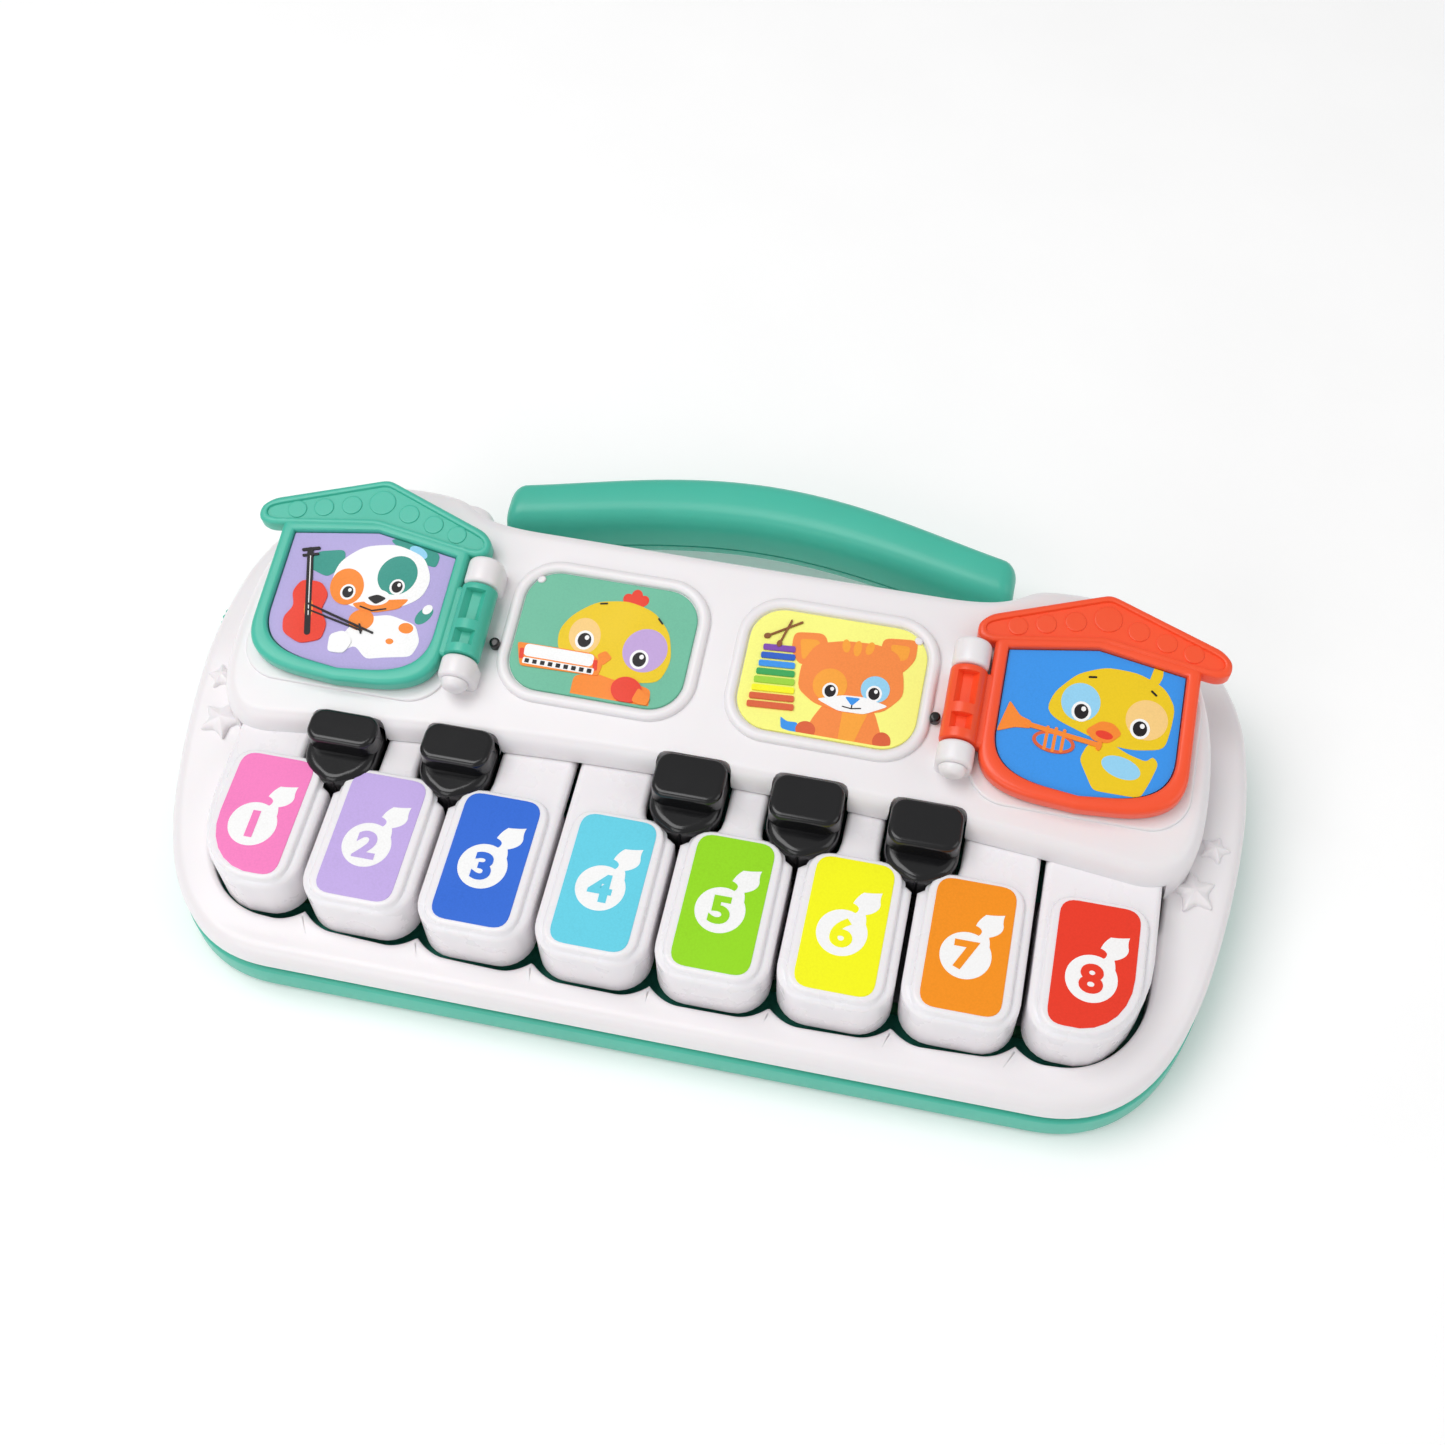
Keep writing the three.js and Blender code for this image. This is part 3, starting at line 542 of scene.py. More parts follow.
for side_name, s in SIDES:
    platform = raised(lambda d: rounded(s * DOOR_X, 20, 24 - d, 18.5 - d, 9 - d, 12),
                      [(0, -1)] + round_over(0, 0.6, 0.5))
    piece(f"{side_name}_platform", [(on_deck(platform), 0)], [white_abs], "case")
    piece(f"{side_name}_bead", [(on_deck(bead(s)), 0)], [white_abs], "case")
    tab = raised(lambda d: oval(s * 43.4, 36.4, 1.0 - d, 0.8 - d, -s * 40, 20),
                 [(0, 0.1)] + round_over(0, 0.95, 0.3, 3))
    piece(f"{side_name}_bead_tab", [(on_deck(tab), 0)], [white_abs], "case")
    stars = [star(s * 110.8, 26.5, 5.4, -7.4, s * 0.25), star(s * 114.2, 37.2, 3.7, -6.4, -s * 0.3)]
    piece(f"{side_name}_stars", [(q, 0) for q in stars], [white_abs], "case")

# %% [markdown]
# The handle is a teal bar that arches away from the console. It is carried along an arc, and its section
# is a superellipse, between a circle and a box. It is moulded in two halves, so each half is the same
# section pressed flat at the parting line. The ends close with a short rounding.

# %% The handle
HANDLE_END, HANDLE_Y, HANDLE_BOW, HANDLE_Z = 62.8, 100.6, 11.2, -13.2


def handle_half(low, high):
    """Rows across the bar from left to right, u going from -1 to 1 along it. The arc is the end's y plus the
    bow times cos^1.2 of u quarter turns; the section is a superellipse, cos^0.62 across and sin^0.62 up, a
    little narrower at the ends; and heights outside low..high are pressed to them."""
    u = np.sin(np.linspace(-1, 1, 61) * np.pi / 2)
    middle = HANDLE_Y + HANDLE_BOW * np.cos(u * np.pi / 2).clip(0) ** 1.2
    width = 7.1 * (0.84 + 0.16 * np.cos(1.4 * u))
    taper = np.clip((1 - np.abs(u)) * HANDLE_END / 3.6, 0, 1)
    close = 0.5 + 0.5 * np.sqrt(1 - (1 - taper) ** 2)
    t = np.linspace(0, 2 * np.pi, 48, endpoint=False)
    across = np.sign(np.cos(t)) * np.abs(np.cos(t)) ** 0.62
    up = np.sign(np.sin(t)) * np.abs(np.sin(t)) ** 0.62
    crown = 1 + 0.07 * across
    rows = np.empty((61, 48, 3))
    rows[..., 0] = HANDLE_END * u[:, None]
    rows[..., 1] = middle[:, None] + (width * close)[:, None] * across
    rows[..., 2] = np.clip(HANDLE_Z + 8.9 * close[:, None] * up * crown, low, high)
    return loft(rows)


piece("handle_top_half", [(handle_half(-16.35, 0), 0)], [teal_abs], "case", ["handle_upper"])
piece("handle_bottom_half", [(handle_half(-30, -16.65), 0)], [teal_abs], "case",
      ["handle_lower"])

# %% [markdown]
# Inks are printed on labels and cards: flat colours with a faint rosette of the printing screen, under a
# clear film. Every printed shape is a very thin closed slab, each layer standing a few hundredths of a
# millimetre over the last, so that a picture stays crisp from any distance and needs no texture file.

# %% Inks
def ink(name, rgb, coat=0.05, rough=0.42):
    """Printed colour: fine dots of the screen vary the shade by a few parts in a hundred."""
    m, nodes, links, shader, where = start_material(name)
    c = np.array(linear(*rgb))
    dots = nodes.new("ShaderNodeTexVoronoi")
    dots.inputs["Scale"].default_value = 2200
    links.new(where, dots.inputs["Vector"])
    cloud = noise(nodes, links, where, 60, 2)
    both = nodes.new("ShaderNodeMath")
    both.operation = "MULTIPLY"
    links.new(dots.outputs["Distance"], both.inputs[0])
    links.new(cloud, both.inputs[1])
    pale = tuple(np.minimum(c[:3] * 1.04 + 0.004, 1)) + (1.0,)
    links.new(blend_colours(nodes, links, both.outputs["Value"], pale, tuple(c[:3] * 0.9) + (1.0,)),
              shader.inputs["Base Color"])
    links.new(ranged(nodes, links, cloud, rough * 0.85, rough * 1.2), shader.inputs["Roughness"])
    shader.inputs["Coat Weight"].default_value = coat
    shader.inputs["Coat Roughness"].default_value = 0.12
    shader.inputs["Specular IOR Level"].default_value = 0.25
    return m


def slab(loop, low, high):
    """A printed shape: the loop as a thin closed slab."""
    return loft([np.column_stack([loop, np.full(len(loop), h)]) for h in (low, high)])


paper_white = ink("paper_white", (252, 251, 250))
LABEL_INKS = [ink(f"label_ink_{k + 1}", rgb) for k, rgb in enumerate((
    (250, 130, 196), (198, 174, 234), (46, 108, 218), (102, 212, 234), (152, 222, 18), (254, 252, 8),
    (250, 148, 18), (238, 58, 34)))]

print("label inks:", len(LABEL_INKS))

# %% [markdown]
# A white key is a hollow block with a neck that runs back under the console. A neighbouring black key
# takes a bite out of its shoulder. On top a pad stands 1.2 mm proud and carries the label: a coloured
# field, a plain note shape and the key's number. The outermost keys have a large rounded front corner.

# %% White key outlines
KEY_GAP = 1.1                         # between the bay's front edge and the keys


def tile(x, half, front, back, r, big=0, reach=1.0):
    """A rounded rectangle from front to back; on the side named by big, the front corner is a long curve."""
    right, left = x + half, x - half
    a, b = 16 * reach, 21 * reach
    steps = [[(right - (a if big > 0 else r), front)]]
    steps += [[(right - 0.4 * a, front + 0.06 * b), (right, front + 0.48 * b),
               (right, front + b)]] if big > 0 \
        else [[(right, front), (right, front + r)]]
    steps += [[(right, back - r)], [(right, back), (right - r, back)], [(left + r, back)],
              [(left, back), (left, back - r)]]
    steps += [[(left, front + b)], [(left, front + 0.48 * b), (left + 0.4 * a, front + 0.06 * b),
                                    (left + a, front)]] if big < 0 \
        else [[(left, front + r)], [(left, front), (left + r, front)]]
    return path((left + (a if big < 0 else r), front), *steps, n=6)[:-1]


def key_body(k, d):
    """Outline of white key k moved in by d: front corners, a bitten shoulder wherever a black key stands,
    and the neck back to y = 50."""
    x, half = (k - 4.5) * PITCH, 12.4 - d
    front, c = bay_front(x) + KEY_GAP + d, 7.4 - 0.6 * d

    def flank(side, edge):
        """One side, from the front corner to the neck's rear corner."""
        out, neck, shoulder = x + side * half, x + side * (4.3 - d), 13 + arc_shift(edge)
        if edge in BLACK_EDGES:
            return [[(out, shoulder - d)],
                    [(out - side * 2, shoulder + 2), (neck, shoulder + 2), (neck, shoulder + 8 - d)],
                    [(neck, 50 - d)]]
        return [[(out, 21)], [(out, 30), (out, 40), (out, 48)], [(out, 50 - d)]]

    def corner(side):
        """The front corner, from the front edge up to the side."""
        out = x + side * half
        if (k, side) in ((1, -1), (8, 1)):
            wide_bend = [(out - side * 6, front + 0.6), (out, front + 10), (out, front + 21)]
            return (out - side * 13, front), wide_bend
        bend = [(out - side * 0.45 * c, front), (out, front + 0.45 * c), (out, front + c)]
        return (out - side * c, front), bend

    middle = {1: x + half - c - 1, 8: x - half + c + 1}.get(k, x)

    def half_outline(side, edge):
        """From the middle of the front edge round one side to the neck's end."""
        begin, bend = corner(side)
        return path((middle, front), [begin], bend, *flank(side, edge), n=7)

    right, left = half_outline(1, k - 4), half_outline(-1, k - 5)
    return np.concatenate([right, left[:0:-1]])


print("outline points of keys 1 to 8:", [len(key_body(k, 0)) for k in range(1, 9)])

# %% [markdown]
# The eight white keys share one recipe. The cap is a plate at the top, a block below it that stops short of
# the switches, and the pad. The digit could be drawn by hand, but Blender's own text makes a clean bold
# shape; it is turned into a mesh at once and its points are used like any other skin.

# %% White keys and their labels
def number(k, size):
    """The digit k as a thin solid: a bold text curve made into a mesh, centred on its own middle."""
    text = bpy.data.curves.new("digit", "FONT")
    text.body, text.size, text.offset, text.extrude, text.resolution_u = str(k), size, size * 0.042, 0.03, 5
    holder = bpy.data.objects.new("digit", text)
    bpy.context.scene.collection.objects.link(holder)
    mesh = bpy.data.meshes.new_from_object(holder)
    co = np.empty(len(mesh.vertices) * 3)
    mesh.vertices.foreach_get("co", co)
    co = co.reshape(-1, 3)
    co[:, :2] -= (co[:, :2].min(0) + co[:, :2].max(0)) / 2
    faces = [list(p.vertices) for p in mesh.polygons]
    bpy.data.objects.remove(holder)
    bpy.data.meshes.remove(mesh)
    return co, faces


NOTE_X, NOTE_Y, NOTE_R = -0.4, -1.72, 5.38
FLAG = path((1.0, 4.4), [(4.6, 2.2)], [(4.7, 3.8), (4.2, 5.0)], [(5.1, 5.3), (5.9, 5.9)],
            [(7.0, 6.8), (6.9, 8.0)],
            [(6.5, 9.4), (6.9, 10.7)], [(5.0, 10.2), (3.0, 10.1)], [(1.7, 8.9), (1.2, 7.2)],
            [(2.3, 6.9), (2.6, 6.2)],
            [(2.7, 5.0), (1.0, 4.4)], n=5)[:-1]
for k in range(1, 9):
    x = (k - 4.5) * PITCH
    y0 = bay_front(x) + KEY_GAP
    big = {1: -1, 8: 1}.get(k, 0)
    plate = raised(lambda d: key_body(k, d), [(0, -4.6)] + round_over(0, -1.2, 1.4, 6))
    block = raised(lambda d: np.minimum(key_body(k, d), [np.inf, 16.6]),
                   [(0.6, -14.6), (0.02, -14.2), (0.02, -9), (0.02, -4)])
    pad = raised(lambda d: tile(x, 10.3 - d, y0 + 1.2 + d, 16.8 - d, 5.6 - d, big, (10.3 - d) / 15),
                 [(-0.7, -1.7), (-0.25, -1.25), (0, -0.8)] + round_over(0, 0, 0.7)[1:])
    piece(f"white_key_{k}_cap", [(plate, 0), (block, 0), (pad, 0)], [key_white], f"white_key_{k}",
          [f"white_key_{k}"])
    front = max(-15.7, y0 + 2.3)
    label = raised(lambda d: tile(x, 8.44 - d, front + d, 15.69 - d, 3.6 - d, big, 0.62),
                   [(0, -0.2), (0, 0.1), (0.05, 0.14), (0.3, 0.14)])
    cx, cy = x + NOTE_X, NOTE_Y
    digit, digit_faces = number(k, 8.6)
    shells = [(label, 0), (slab(oval(cx, cy, NOTE_R, NOTE_R, n=64), 0, 0.18), 1),
              (slab(FLAG + [cx, cy], 0, 0.20), 1), ((digit * [1.12, 1, 1] + [cx, cy, 0.22], digit_faces), 0)]
    piece(f"white_key_{k}_label", shells, [LABEL_INKS[k - 1], paper_white], f"white_key_{k}")

# %% [markdown]
# A black key has two tiers: a block between the white shoulders and a smaller cap on it. Both are rounded
# rectangles with generous edges, and the gloss draws a thin bright line along the cap's front edge. A
# switch peg hangs under the block and an arm runs back under the console.

# %% Black keys
def shield(x, front, back, half, d):
    """Plan of the block moved in by d: a rounded point at the front that fits between the white shoulders."""
    h, f, b = half - d, front + d, back - d
    right = path((0, f), [(1.7, f), (2.8 - 0.3 * d, f + 0.9), (4.8 - 0.5 * d, f + 2)],
                 [(6.6 - d, f + 3.1), (h, f + 4.9), (h, f + 7.8)],
                 [(h, b - 3)], [(h, b - 1), (h - 1.2, b), (h - 3, b)], [(0, b)], n=7)
    return mirror_loop(right) + [x, 0]


for n, e in enumerate(BLACK_EDGES):
    x, dy, back = e * PITCH, arc_shift(e), notch_back(e) - 0.3
    block = raised(lambda d: shield(x, 14.2 + dy, back, 8.05, d),
                   [(0.6, -7), (0, -5)] + round_over(0, 1.2, 1.6, 7))
    c0, c1 = 20.2 + dy + (1.2 if e < -2 else 0), back
    cap = raised(lambda d: rounded(x, (c0 + c1) / 2, 7.9 - d, (c1 - c0) / 2 - d, 3.3 - d, 8),
                 [(-0.1, 0.6), (-0.1, 1.3), (0, 2.1), (0, 3)] + round_over(0, 5.5, 1.15, 6))
    peg = raised(lambda d: rounded(x, 19.8 + dy, 3 - d, 2 - d, 0.8, 3), [(0, -13.4), (0, -6)])
    arm = raised(lambda d: rounded(x, 40 + dy / 2, 3.9 - d, 12 + dy / 2 - d, 1, 3),
                 [(0, -5), (0, 0.1), (0.3, 0.4)])
    piece(f"black_key_{n + 1}_cap", [(block, 0), (cap, 0), (peg, 0), (arm, 0)], [black_gloss],
          f"black_key_{n + 1}",
          [f"black_key_{n + 1}"])

# %% [markdown]
# Each door is a little house. The frame's section is a band with a round outer edge and a step down to
# the picture card, the roof is a chevron with a sunk face and a row of shallow discs, and a hinge barrel
# with two windows is joined to it by a short arm. Each part is its own outline and profile.

# %% Door and roof outlines
def door_plan(s, d):
    """House front moved in by d: a bowed sill, round lower corners, straight sides and a low gable."""
    half, low, high = 22.4 - d, 2 + d, 39 + 0.2 * d
    right = path((0, low), [(half - 14, low + 0.6)],
                 [(half - 4, low + 1.5), (half, low + 5), (half, low + 12)],
                 [(half, high - d)], [(0, high + 3.2 - d)], n=14)
    return mirror_loop(right) + [s * DOOR_X, 0]


def roof_plan(s, d):
    """Chevron moved in by d: eaves, ridge and the bent lower edge, with blurred corners."""
    h = 27.6 - d
    right = [(0, 40.9 + d), (h - 2.6, 37.2 + d), (h, 38.2 + 0.6 * d), (h + 0.2, 41.4),
             (h - 2.2, 43.9 - 0.8 * d), (0, 53.2 - d)]
    loop = np.array(right + [(-x, v) for x, v in right[-2:0:-1]])
    return even(loop, 260, 1.0) + [s * (DOOR_X + 1), 0]


print("roof points:", len(roof_plan(1, 0)), "frame points:", len(door_plan(1, 0)))

# %% [markdown]
# The barrel is turned like a rod: a radius for every length along the hinge axis. Its two windows are not
# cut out. Within them the radius drops to a flat floor, so the mesh stays one clean grid.

# %% Hinge barrel
BARREL_R = 4.1


def turned(s, v, r, n=40):
    """A profile turned round the hinge axis: radius r at length v, closed at both ends."""
    t = np.linspace(0, 2 * np.pi, n, endpoint=False)
    v, r = np.asarray(v, float)[:, None], np.asarray(r, float)
    r = r[:, None] if r.ndim == 1 else r
    rows = np.stack([s * HINGE_X + r * np.sin(t), v + 0 * r * t, HINGE_W + r * np.cos(t)], -1)
    return loft(rows[:, ::-1])


def barrel(s):
    """Inside two windows, 4.4 mm wide, the surface drops to a flat floor 1.8 mm above the axis, which is a
    radius of 1.8 / cos(angle)."""
    t = np.linspace(0, 2 * np.pi, 72, endpoint=False)
    window_ends = [v + e for v in (14.4, 18, 20.4, 28) for e in (-0.02, 0.02)]
    v = np.r_[12.2, 12.24, 12.4, np.sort(np.r_[np.linspace(12.7, 29.1, 24), window_ends]), 29.4, 29.56, 29.6]
    r = np.r_[3.4, 3.7, 4.0, np.full(len(v) - 6, BARREL_R), 4.0, 3.7, 3.4]
    inside = ((v > 14.4) & (v < 18)) | ((v > 20.4) & (v < 28))
    top = np.abs(np.angle(np.exp(1j * t))) < np.radians(32.5)
    floor = 1.8 / np.cos(np.where(top, t, 0))
    return turned(s, v, np.where(inside[:, None] & top[None], floor[None], r[:, None]), 72)


print("barrel faces:", len(barrel(1)[1]))

# %% [markdown]
# Each profile starts under the frame's outer edge, goes over the round top and steps down to the card. The
# roof's discs are separate shallow cylinders that stand in its sunk face.

# %% The two doors
band = [(0.9, 1.0), (0.6, 1.0), (0.15, 1.2), (0, 1.7)] + round_over(0, 5.2, 1.2)[:-1]
band += [(2.3 + 0.7 * np.sin(a), 4.5 + 0.7 * np.cos(a)) for a in np.linspace(0, np.pi / 2, 4)]
band += [(3.0, 2.4), (3.3, 2.4)]
gable = [(0.8, 1.0), (0.5, 1.0), (0.1, 1.2), (0, 1.7)] + round_over(0, 5.4, 0.9)[:-1]
gable += [(1.35, 5.4), (1.5, 5.32), (1.6, 5.1), (1.7, 4.8), (1.95, 4.8)]
for side_name, s in SIDES:
    finish = teal_abs if s < 0 else red_abs
    shells = [raised(lambda d: door_plan(s, d), band), raised(lambda d: roof_plan(s, d), gable)]
    for q in (-19.2, -13.2, -6.9, 0, 6.9, 13.2, 19.2):
        r = 3.1 if q == 0 else 2.45 - 0.012 * abs(q)
        shells.append(raised(lambda d: oval(s * (DOOR_X + 1) + q, 47.1 - 0.265 * abs(q), r - d, r - d, n=36),
                             [(0, 4.6)] + round_over(0, 5.06, 0.2, 3)))
    arm_x = s * (HINGE_X + 3.6)
    shells.append(raised(lambda d: rounded(arm_x, 20.9, 3.5 - d, 8.7 - d, 1.2, 5),
                         [(0.4, 1.4), (0, 1.8)] + round_over(0, 5.0, 0.9)))
    shells.append(barrel(s))
    piece(f"{side_name}_door_house", [(on_deck(q), 0) for q in shells], [finish], f"{side_name}_door",
          [f"{side_name}_door"])

# %% [markdown]
# The hinge knuckles stand on the deck, two to each door. A knuckle's section is an arch: a half circle on
# straight legs. The pin that joins them ends in a domed head at the front, turned round the hinge axis.

# %% Hinge knuckles and pins
def knuckle(s, v0, v1):
    """An arch on legs, carried from v0 to v1. Over the last 1.1 mm of each end it is drawn in along a
    quarter ellipse, to 0.73 of its size; the legs keep their length."""
    t = np.linspace(0, np.pi, 25)
    x = np.r_[BARREL_R * np.cos(t), -BARREL_R, BARREL_R]
    w = np.r_[BARREL_R * np.sin(t), -5.6, -5.6]
    a = np.linspace(0, np.pi / 2, 6)
    v = np.r_[v0 + 1.1 * (1 - np.cos(a)), v1 - 1.1 * (1 - np.sin(a))][:, None]
    size = (0.73 + 0.27 * np.r_[np.sin(a), np.cos(a)])[:, None]
    return loft(np.stack([s * HINGE_X + size * x, v + 0 * x, HINGE_W + np.where(w > 0, size * w, w)], -1))


for side_name, s in SIDES:
    shells = [(on_deck(knuckle(s, 6.6, 11.9)), 0), (on_deck(knuckle(s, 29.9, 36.4)), 0)]
    piece(f"{side_name}_knuckles", shells, [white_abs], "case")
    a = np.linspace(0.05, np.pi / 2, 9)
    head_v, head_r = 6.4 - 2.3 * np.cos(a), 3.05 * np.sin(a) ** 0.75
    pin = turned(s, np.r_[head_v, 6.5, 6.6, 35.6, 36.0], np.r_[head_r, 3.0, 1.2, 1.2, 0.9])
    piece(f"{side_name}_pin", [(on_deck(pin), 0)], [white_abs], "case",
          [f"{side_name}_hinge_pin"])

# %% [markdown]
# Four pictures: plain animals playing plain instruments, drawn as flat shapes from back to front. A shape
# is an outline in card coordinates; it is cut to the card's own outline, one straight edge at a time, and
# stands a little higher than the shape before it.

# %% Drawing flat shapes on a card
def clip_to(loop, frame_loop):
    """The part of a loop inside a convex frame: for each frame edge keep the points on its left, and put a
    new point where the loop crosses it."""
    for a, b in zip(frame_loop, np.roll(frame_loop, -1, 0)):
        if len(loop) < 3:
            return loop
        normal = np.array([a[1] - b[1], b[0] - a[0]])
        side = (loop - a) @ normal
        after, side_after = np.roll(loop, -1, 0), np.roll(side, -1)
        crossing = (side >= 0) != (side_after >= 0)
        share = side / np.where(crossing, side - side_after, 1)
        cut = loop + share[:, None] * (after - loop)
        both = np.stack([loop, cut], 1).reshape(-1, 2)
        loop = both[np.stack([side >= 0, crossing], 1).ravel()]
    return loop


def tidy_loop(loop):
    """Without points closer than 0.02 mm to the one before."""
    return loop[np.hypot(*(loop - np.roll(loop, 1, 0)).T) > 0.02]


def blob(*points, n=64, soft=0.9):
    """A rounded shape through a few corner points."""
    return even(np.array(points, float), n, soft)


def turn_box(cx, cy, a, b, turn, r=0.3):
    """A rectangle with half sizes a and b, turned by some degrees."""
    c, s = np.cos(np.radians(turn)), np.sin(np.radians(turn))
    return rounded(0, 0, a, b, r, 3) @ [[c, s], [-s, c]] + [cx, cy]


def anticlockwise(loop):
    """The loop in the direction whose shoelace area is positive."""
    area = np.sum(loop[:, 0] * np.roll(loop[:, 1], -1) - np.roll(loop[:, 0], -1) * loop[:, 1])
    return loop if area > 0 else loop[::-1]


LAYER = 0.012                         # how much each printed shape stands over the last


def picture(card, shapes, base):
    """The (colour, outline) shapes cut to the card, each a layer higher than the one before, and the inks
    they use. Finish number 0 is left free for the card itself."""
    colours = list(dict.fromkeys(c for c, _ in shapes))
    shells = []
    for i, (colour, loop) in enumerate(shapes, 1):
        cut = tidy_loop(clip_to(anticlockwise(loop), card))
        if len(cut) > 2:
            shells.append((on_deck(slab(cut, base - 0.05, base + i * LAYER)), colours.index(colour) + 1))
    return shells, [INKS[c] for c in colours]


COLOURS = {
    "lavender": (182, 170, 222), "white": (252, 251, 250), "teal": (54, 152, 138), "orange": (250, 140, 46),
    "red": (236, 62, 40), "dark": (24, 18, 22), "sky": (150, 212, 244), "green": (112, 190, 160),
    "yellow": (255, 248, 30), "gold": (240, 204, 22), "ginger": (248, 140, 66), "tan": (255, 166, 56),
    "rust": (222, 98, 56), "lilac": (196, 166, 220), "lemon": (255, 252, 132), "peach": (250, 208, 132),
    "blue": (40, 96, 200), "azure": (56, 150, 238), "purple": (128, 72, 176), "brown": (140, 84, 44),
    "lime": (160, 214, 60), "leaf": (56, 168, 88)}
INKS = {colour: ink(f"ink_{colour}", rgb) for colour, rgb in COLOURS.items()}
print("inks:", len(INKS))


# %% [markdown]
# Each animal is a list of colours and outlines in millimetres, from the back of the picture to the front.
# A traced drawing would need hundreds of points. A few corner points, blurred, give the same soft shapes
# and are easy to change by hand. The puppy is on the left door.

# %% Puppy with a violin
def eye(cx, cy, r=1.5):
    """White of the eye, a dark pupil and a small light."""
    return [("white", oval(cx, cy, r * 1.25, r * 1.4)), ("dark", oval(cx, cy, r * 0.9, r * 1.05)),
            ("white", oval(cx + 0.25 * r, cy + 0.4 * r, r * 0.3, r * 0.34, n=16))]


def stroke(x0, y0, x1, y1, half):
    """A straight line of a pen, 2 half wide, from one point to another."""
    turn = np.degrees(np.arctan2(y1 - y0, x1 - x0))
    return turn_box((x0 + x1) / 2, (y0 + y1) / 2, np.hypot(x1 - x0, y1 - y0) / 2 + half, half, turn,
                    half * 0.9)


def puppy():
    """Head upper right, body lower right, violin with its bow on the left."""
    return [
        ("teal", oval(15.8, 21.2, 1.5, 2.6, -30)), ("white", oval(16.2, 22.8, 1.0, 1.3, -30)),
        ("white", blob((-3.2, 9), (0.4, 9.6), (2.2, 11.4), (5.6, 8.4), (9, 9.4), (15.6, 10.8), (16.6, 14.6),
                       (14.6, 18.6), (8, 20), (1, 18), soft=0.8)),
        ("orange", oval(2.0, 17.6, 2.9, 2.6, 20)), ("orange", oval(12.6, 17.4, 1.7, 1.3)),
        ("orange", oval(9.8, 13.6, 0.9, 0.7)),
        ("teal", blob((-14, 28.4), (-12.8, 32.6), (-6.4, 34.2), (-5.6, 30.4), (-8.6, 26.6), soft=0.9)),
        ("teal", blob((3, 38.4), (8.6, 40.6), (15.6, 36.6), (15.4, 33.2), (11.6, 34.0), (6, 36.6), soft=0.8)),
        ("sky", oval(10.4, 36.4, 2.4, 1.3, -24)),
        ("white", blob((-7.6, 25.4), (-7.0, 31), (-2.4, 35.8), (5.0, 37.6), (12.2, 35.6), (15.2, 30.2),
                       (14.2, 25.2), (9.4, 21.8), (2.4, 19.8), (-4.2, 21.2), soft=1.6)),
        ("teal", oval(7.2, 29.9, 4.5, 5.0, -12)), ("orange", oval(-3.5, 25.1, 3.9, 4.6, 14)),
        ("orange", blob((-1.4, 21.2), (3.6, 22.8), (11.6, 24.6), (9.8, 21.8), (4.6, 19.9), (0.6, 19.9),
                        soft=0.7)),
        ("white", oval(3.9, 23.6, 3.1, 2.0, 10)), *eye(-2.9, 23.8, 1.4), *eye(7.9, 27.0, 1.4),
        ("dark", blob((1.8, 23.2), (4.0, 24.4), (6.4, 23.8), (4.2, 21.8), soft=0.5)),
        ("dark", stroke(0.9, 20.8, 3.8, 20.2, 0.16)), ("dark", stroke(3.8, 20.2, 6.8, 21.2, 0.16)),
        ("red", blob((-14.8, 11.4), (-10.2, 9.4), (-5.6, 11.2), (-5.4, 15.4), (-7.8, 18.2), (-7.0, 22.4),
                     (-9.4, 25.2), (-14.2, 25.0), (-15.6, 21.6), (-14.0, 18.2), (-15.8, 15.2), soft=0.9)),
        ("orange", oval(-10.6, 18.2, 1.0, 2.6, 14)), ("dark", stroke(-14.4, 32.6, -9.2, 12.4, 0.72)),
        ("white", stroke(-14.0, 31.4, -10.2, 16.6, 0.1)), ("dark", stroke(-16.0, 32.4, -12.6, 33.4, 0.36)),
        ("dark", stroke(-15.6, 31.0, -12.4, 31.9, 0.3)), ("dark", stroke(-11.4, 19.4, 5.4, 14.9, 0.24)),
        ("dark", stroke(-10.8, 17.9, 2.8, 15.0, 0.2)), ("dark", stroke(2.0, 16.4, 2.8, 14.4, 0.2)),
        ("white", blob((-3.4, 8.6), (-4.0, 12.8), (-1.0, 14.4), (1.6, 12.0), (0.4, 8.8), soft=0.7))]


# %% [markdown]
# The chick is behind the left window. Its mouth organ is three plain bars and a row of small dark holes.

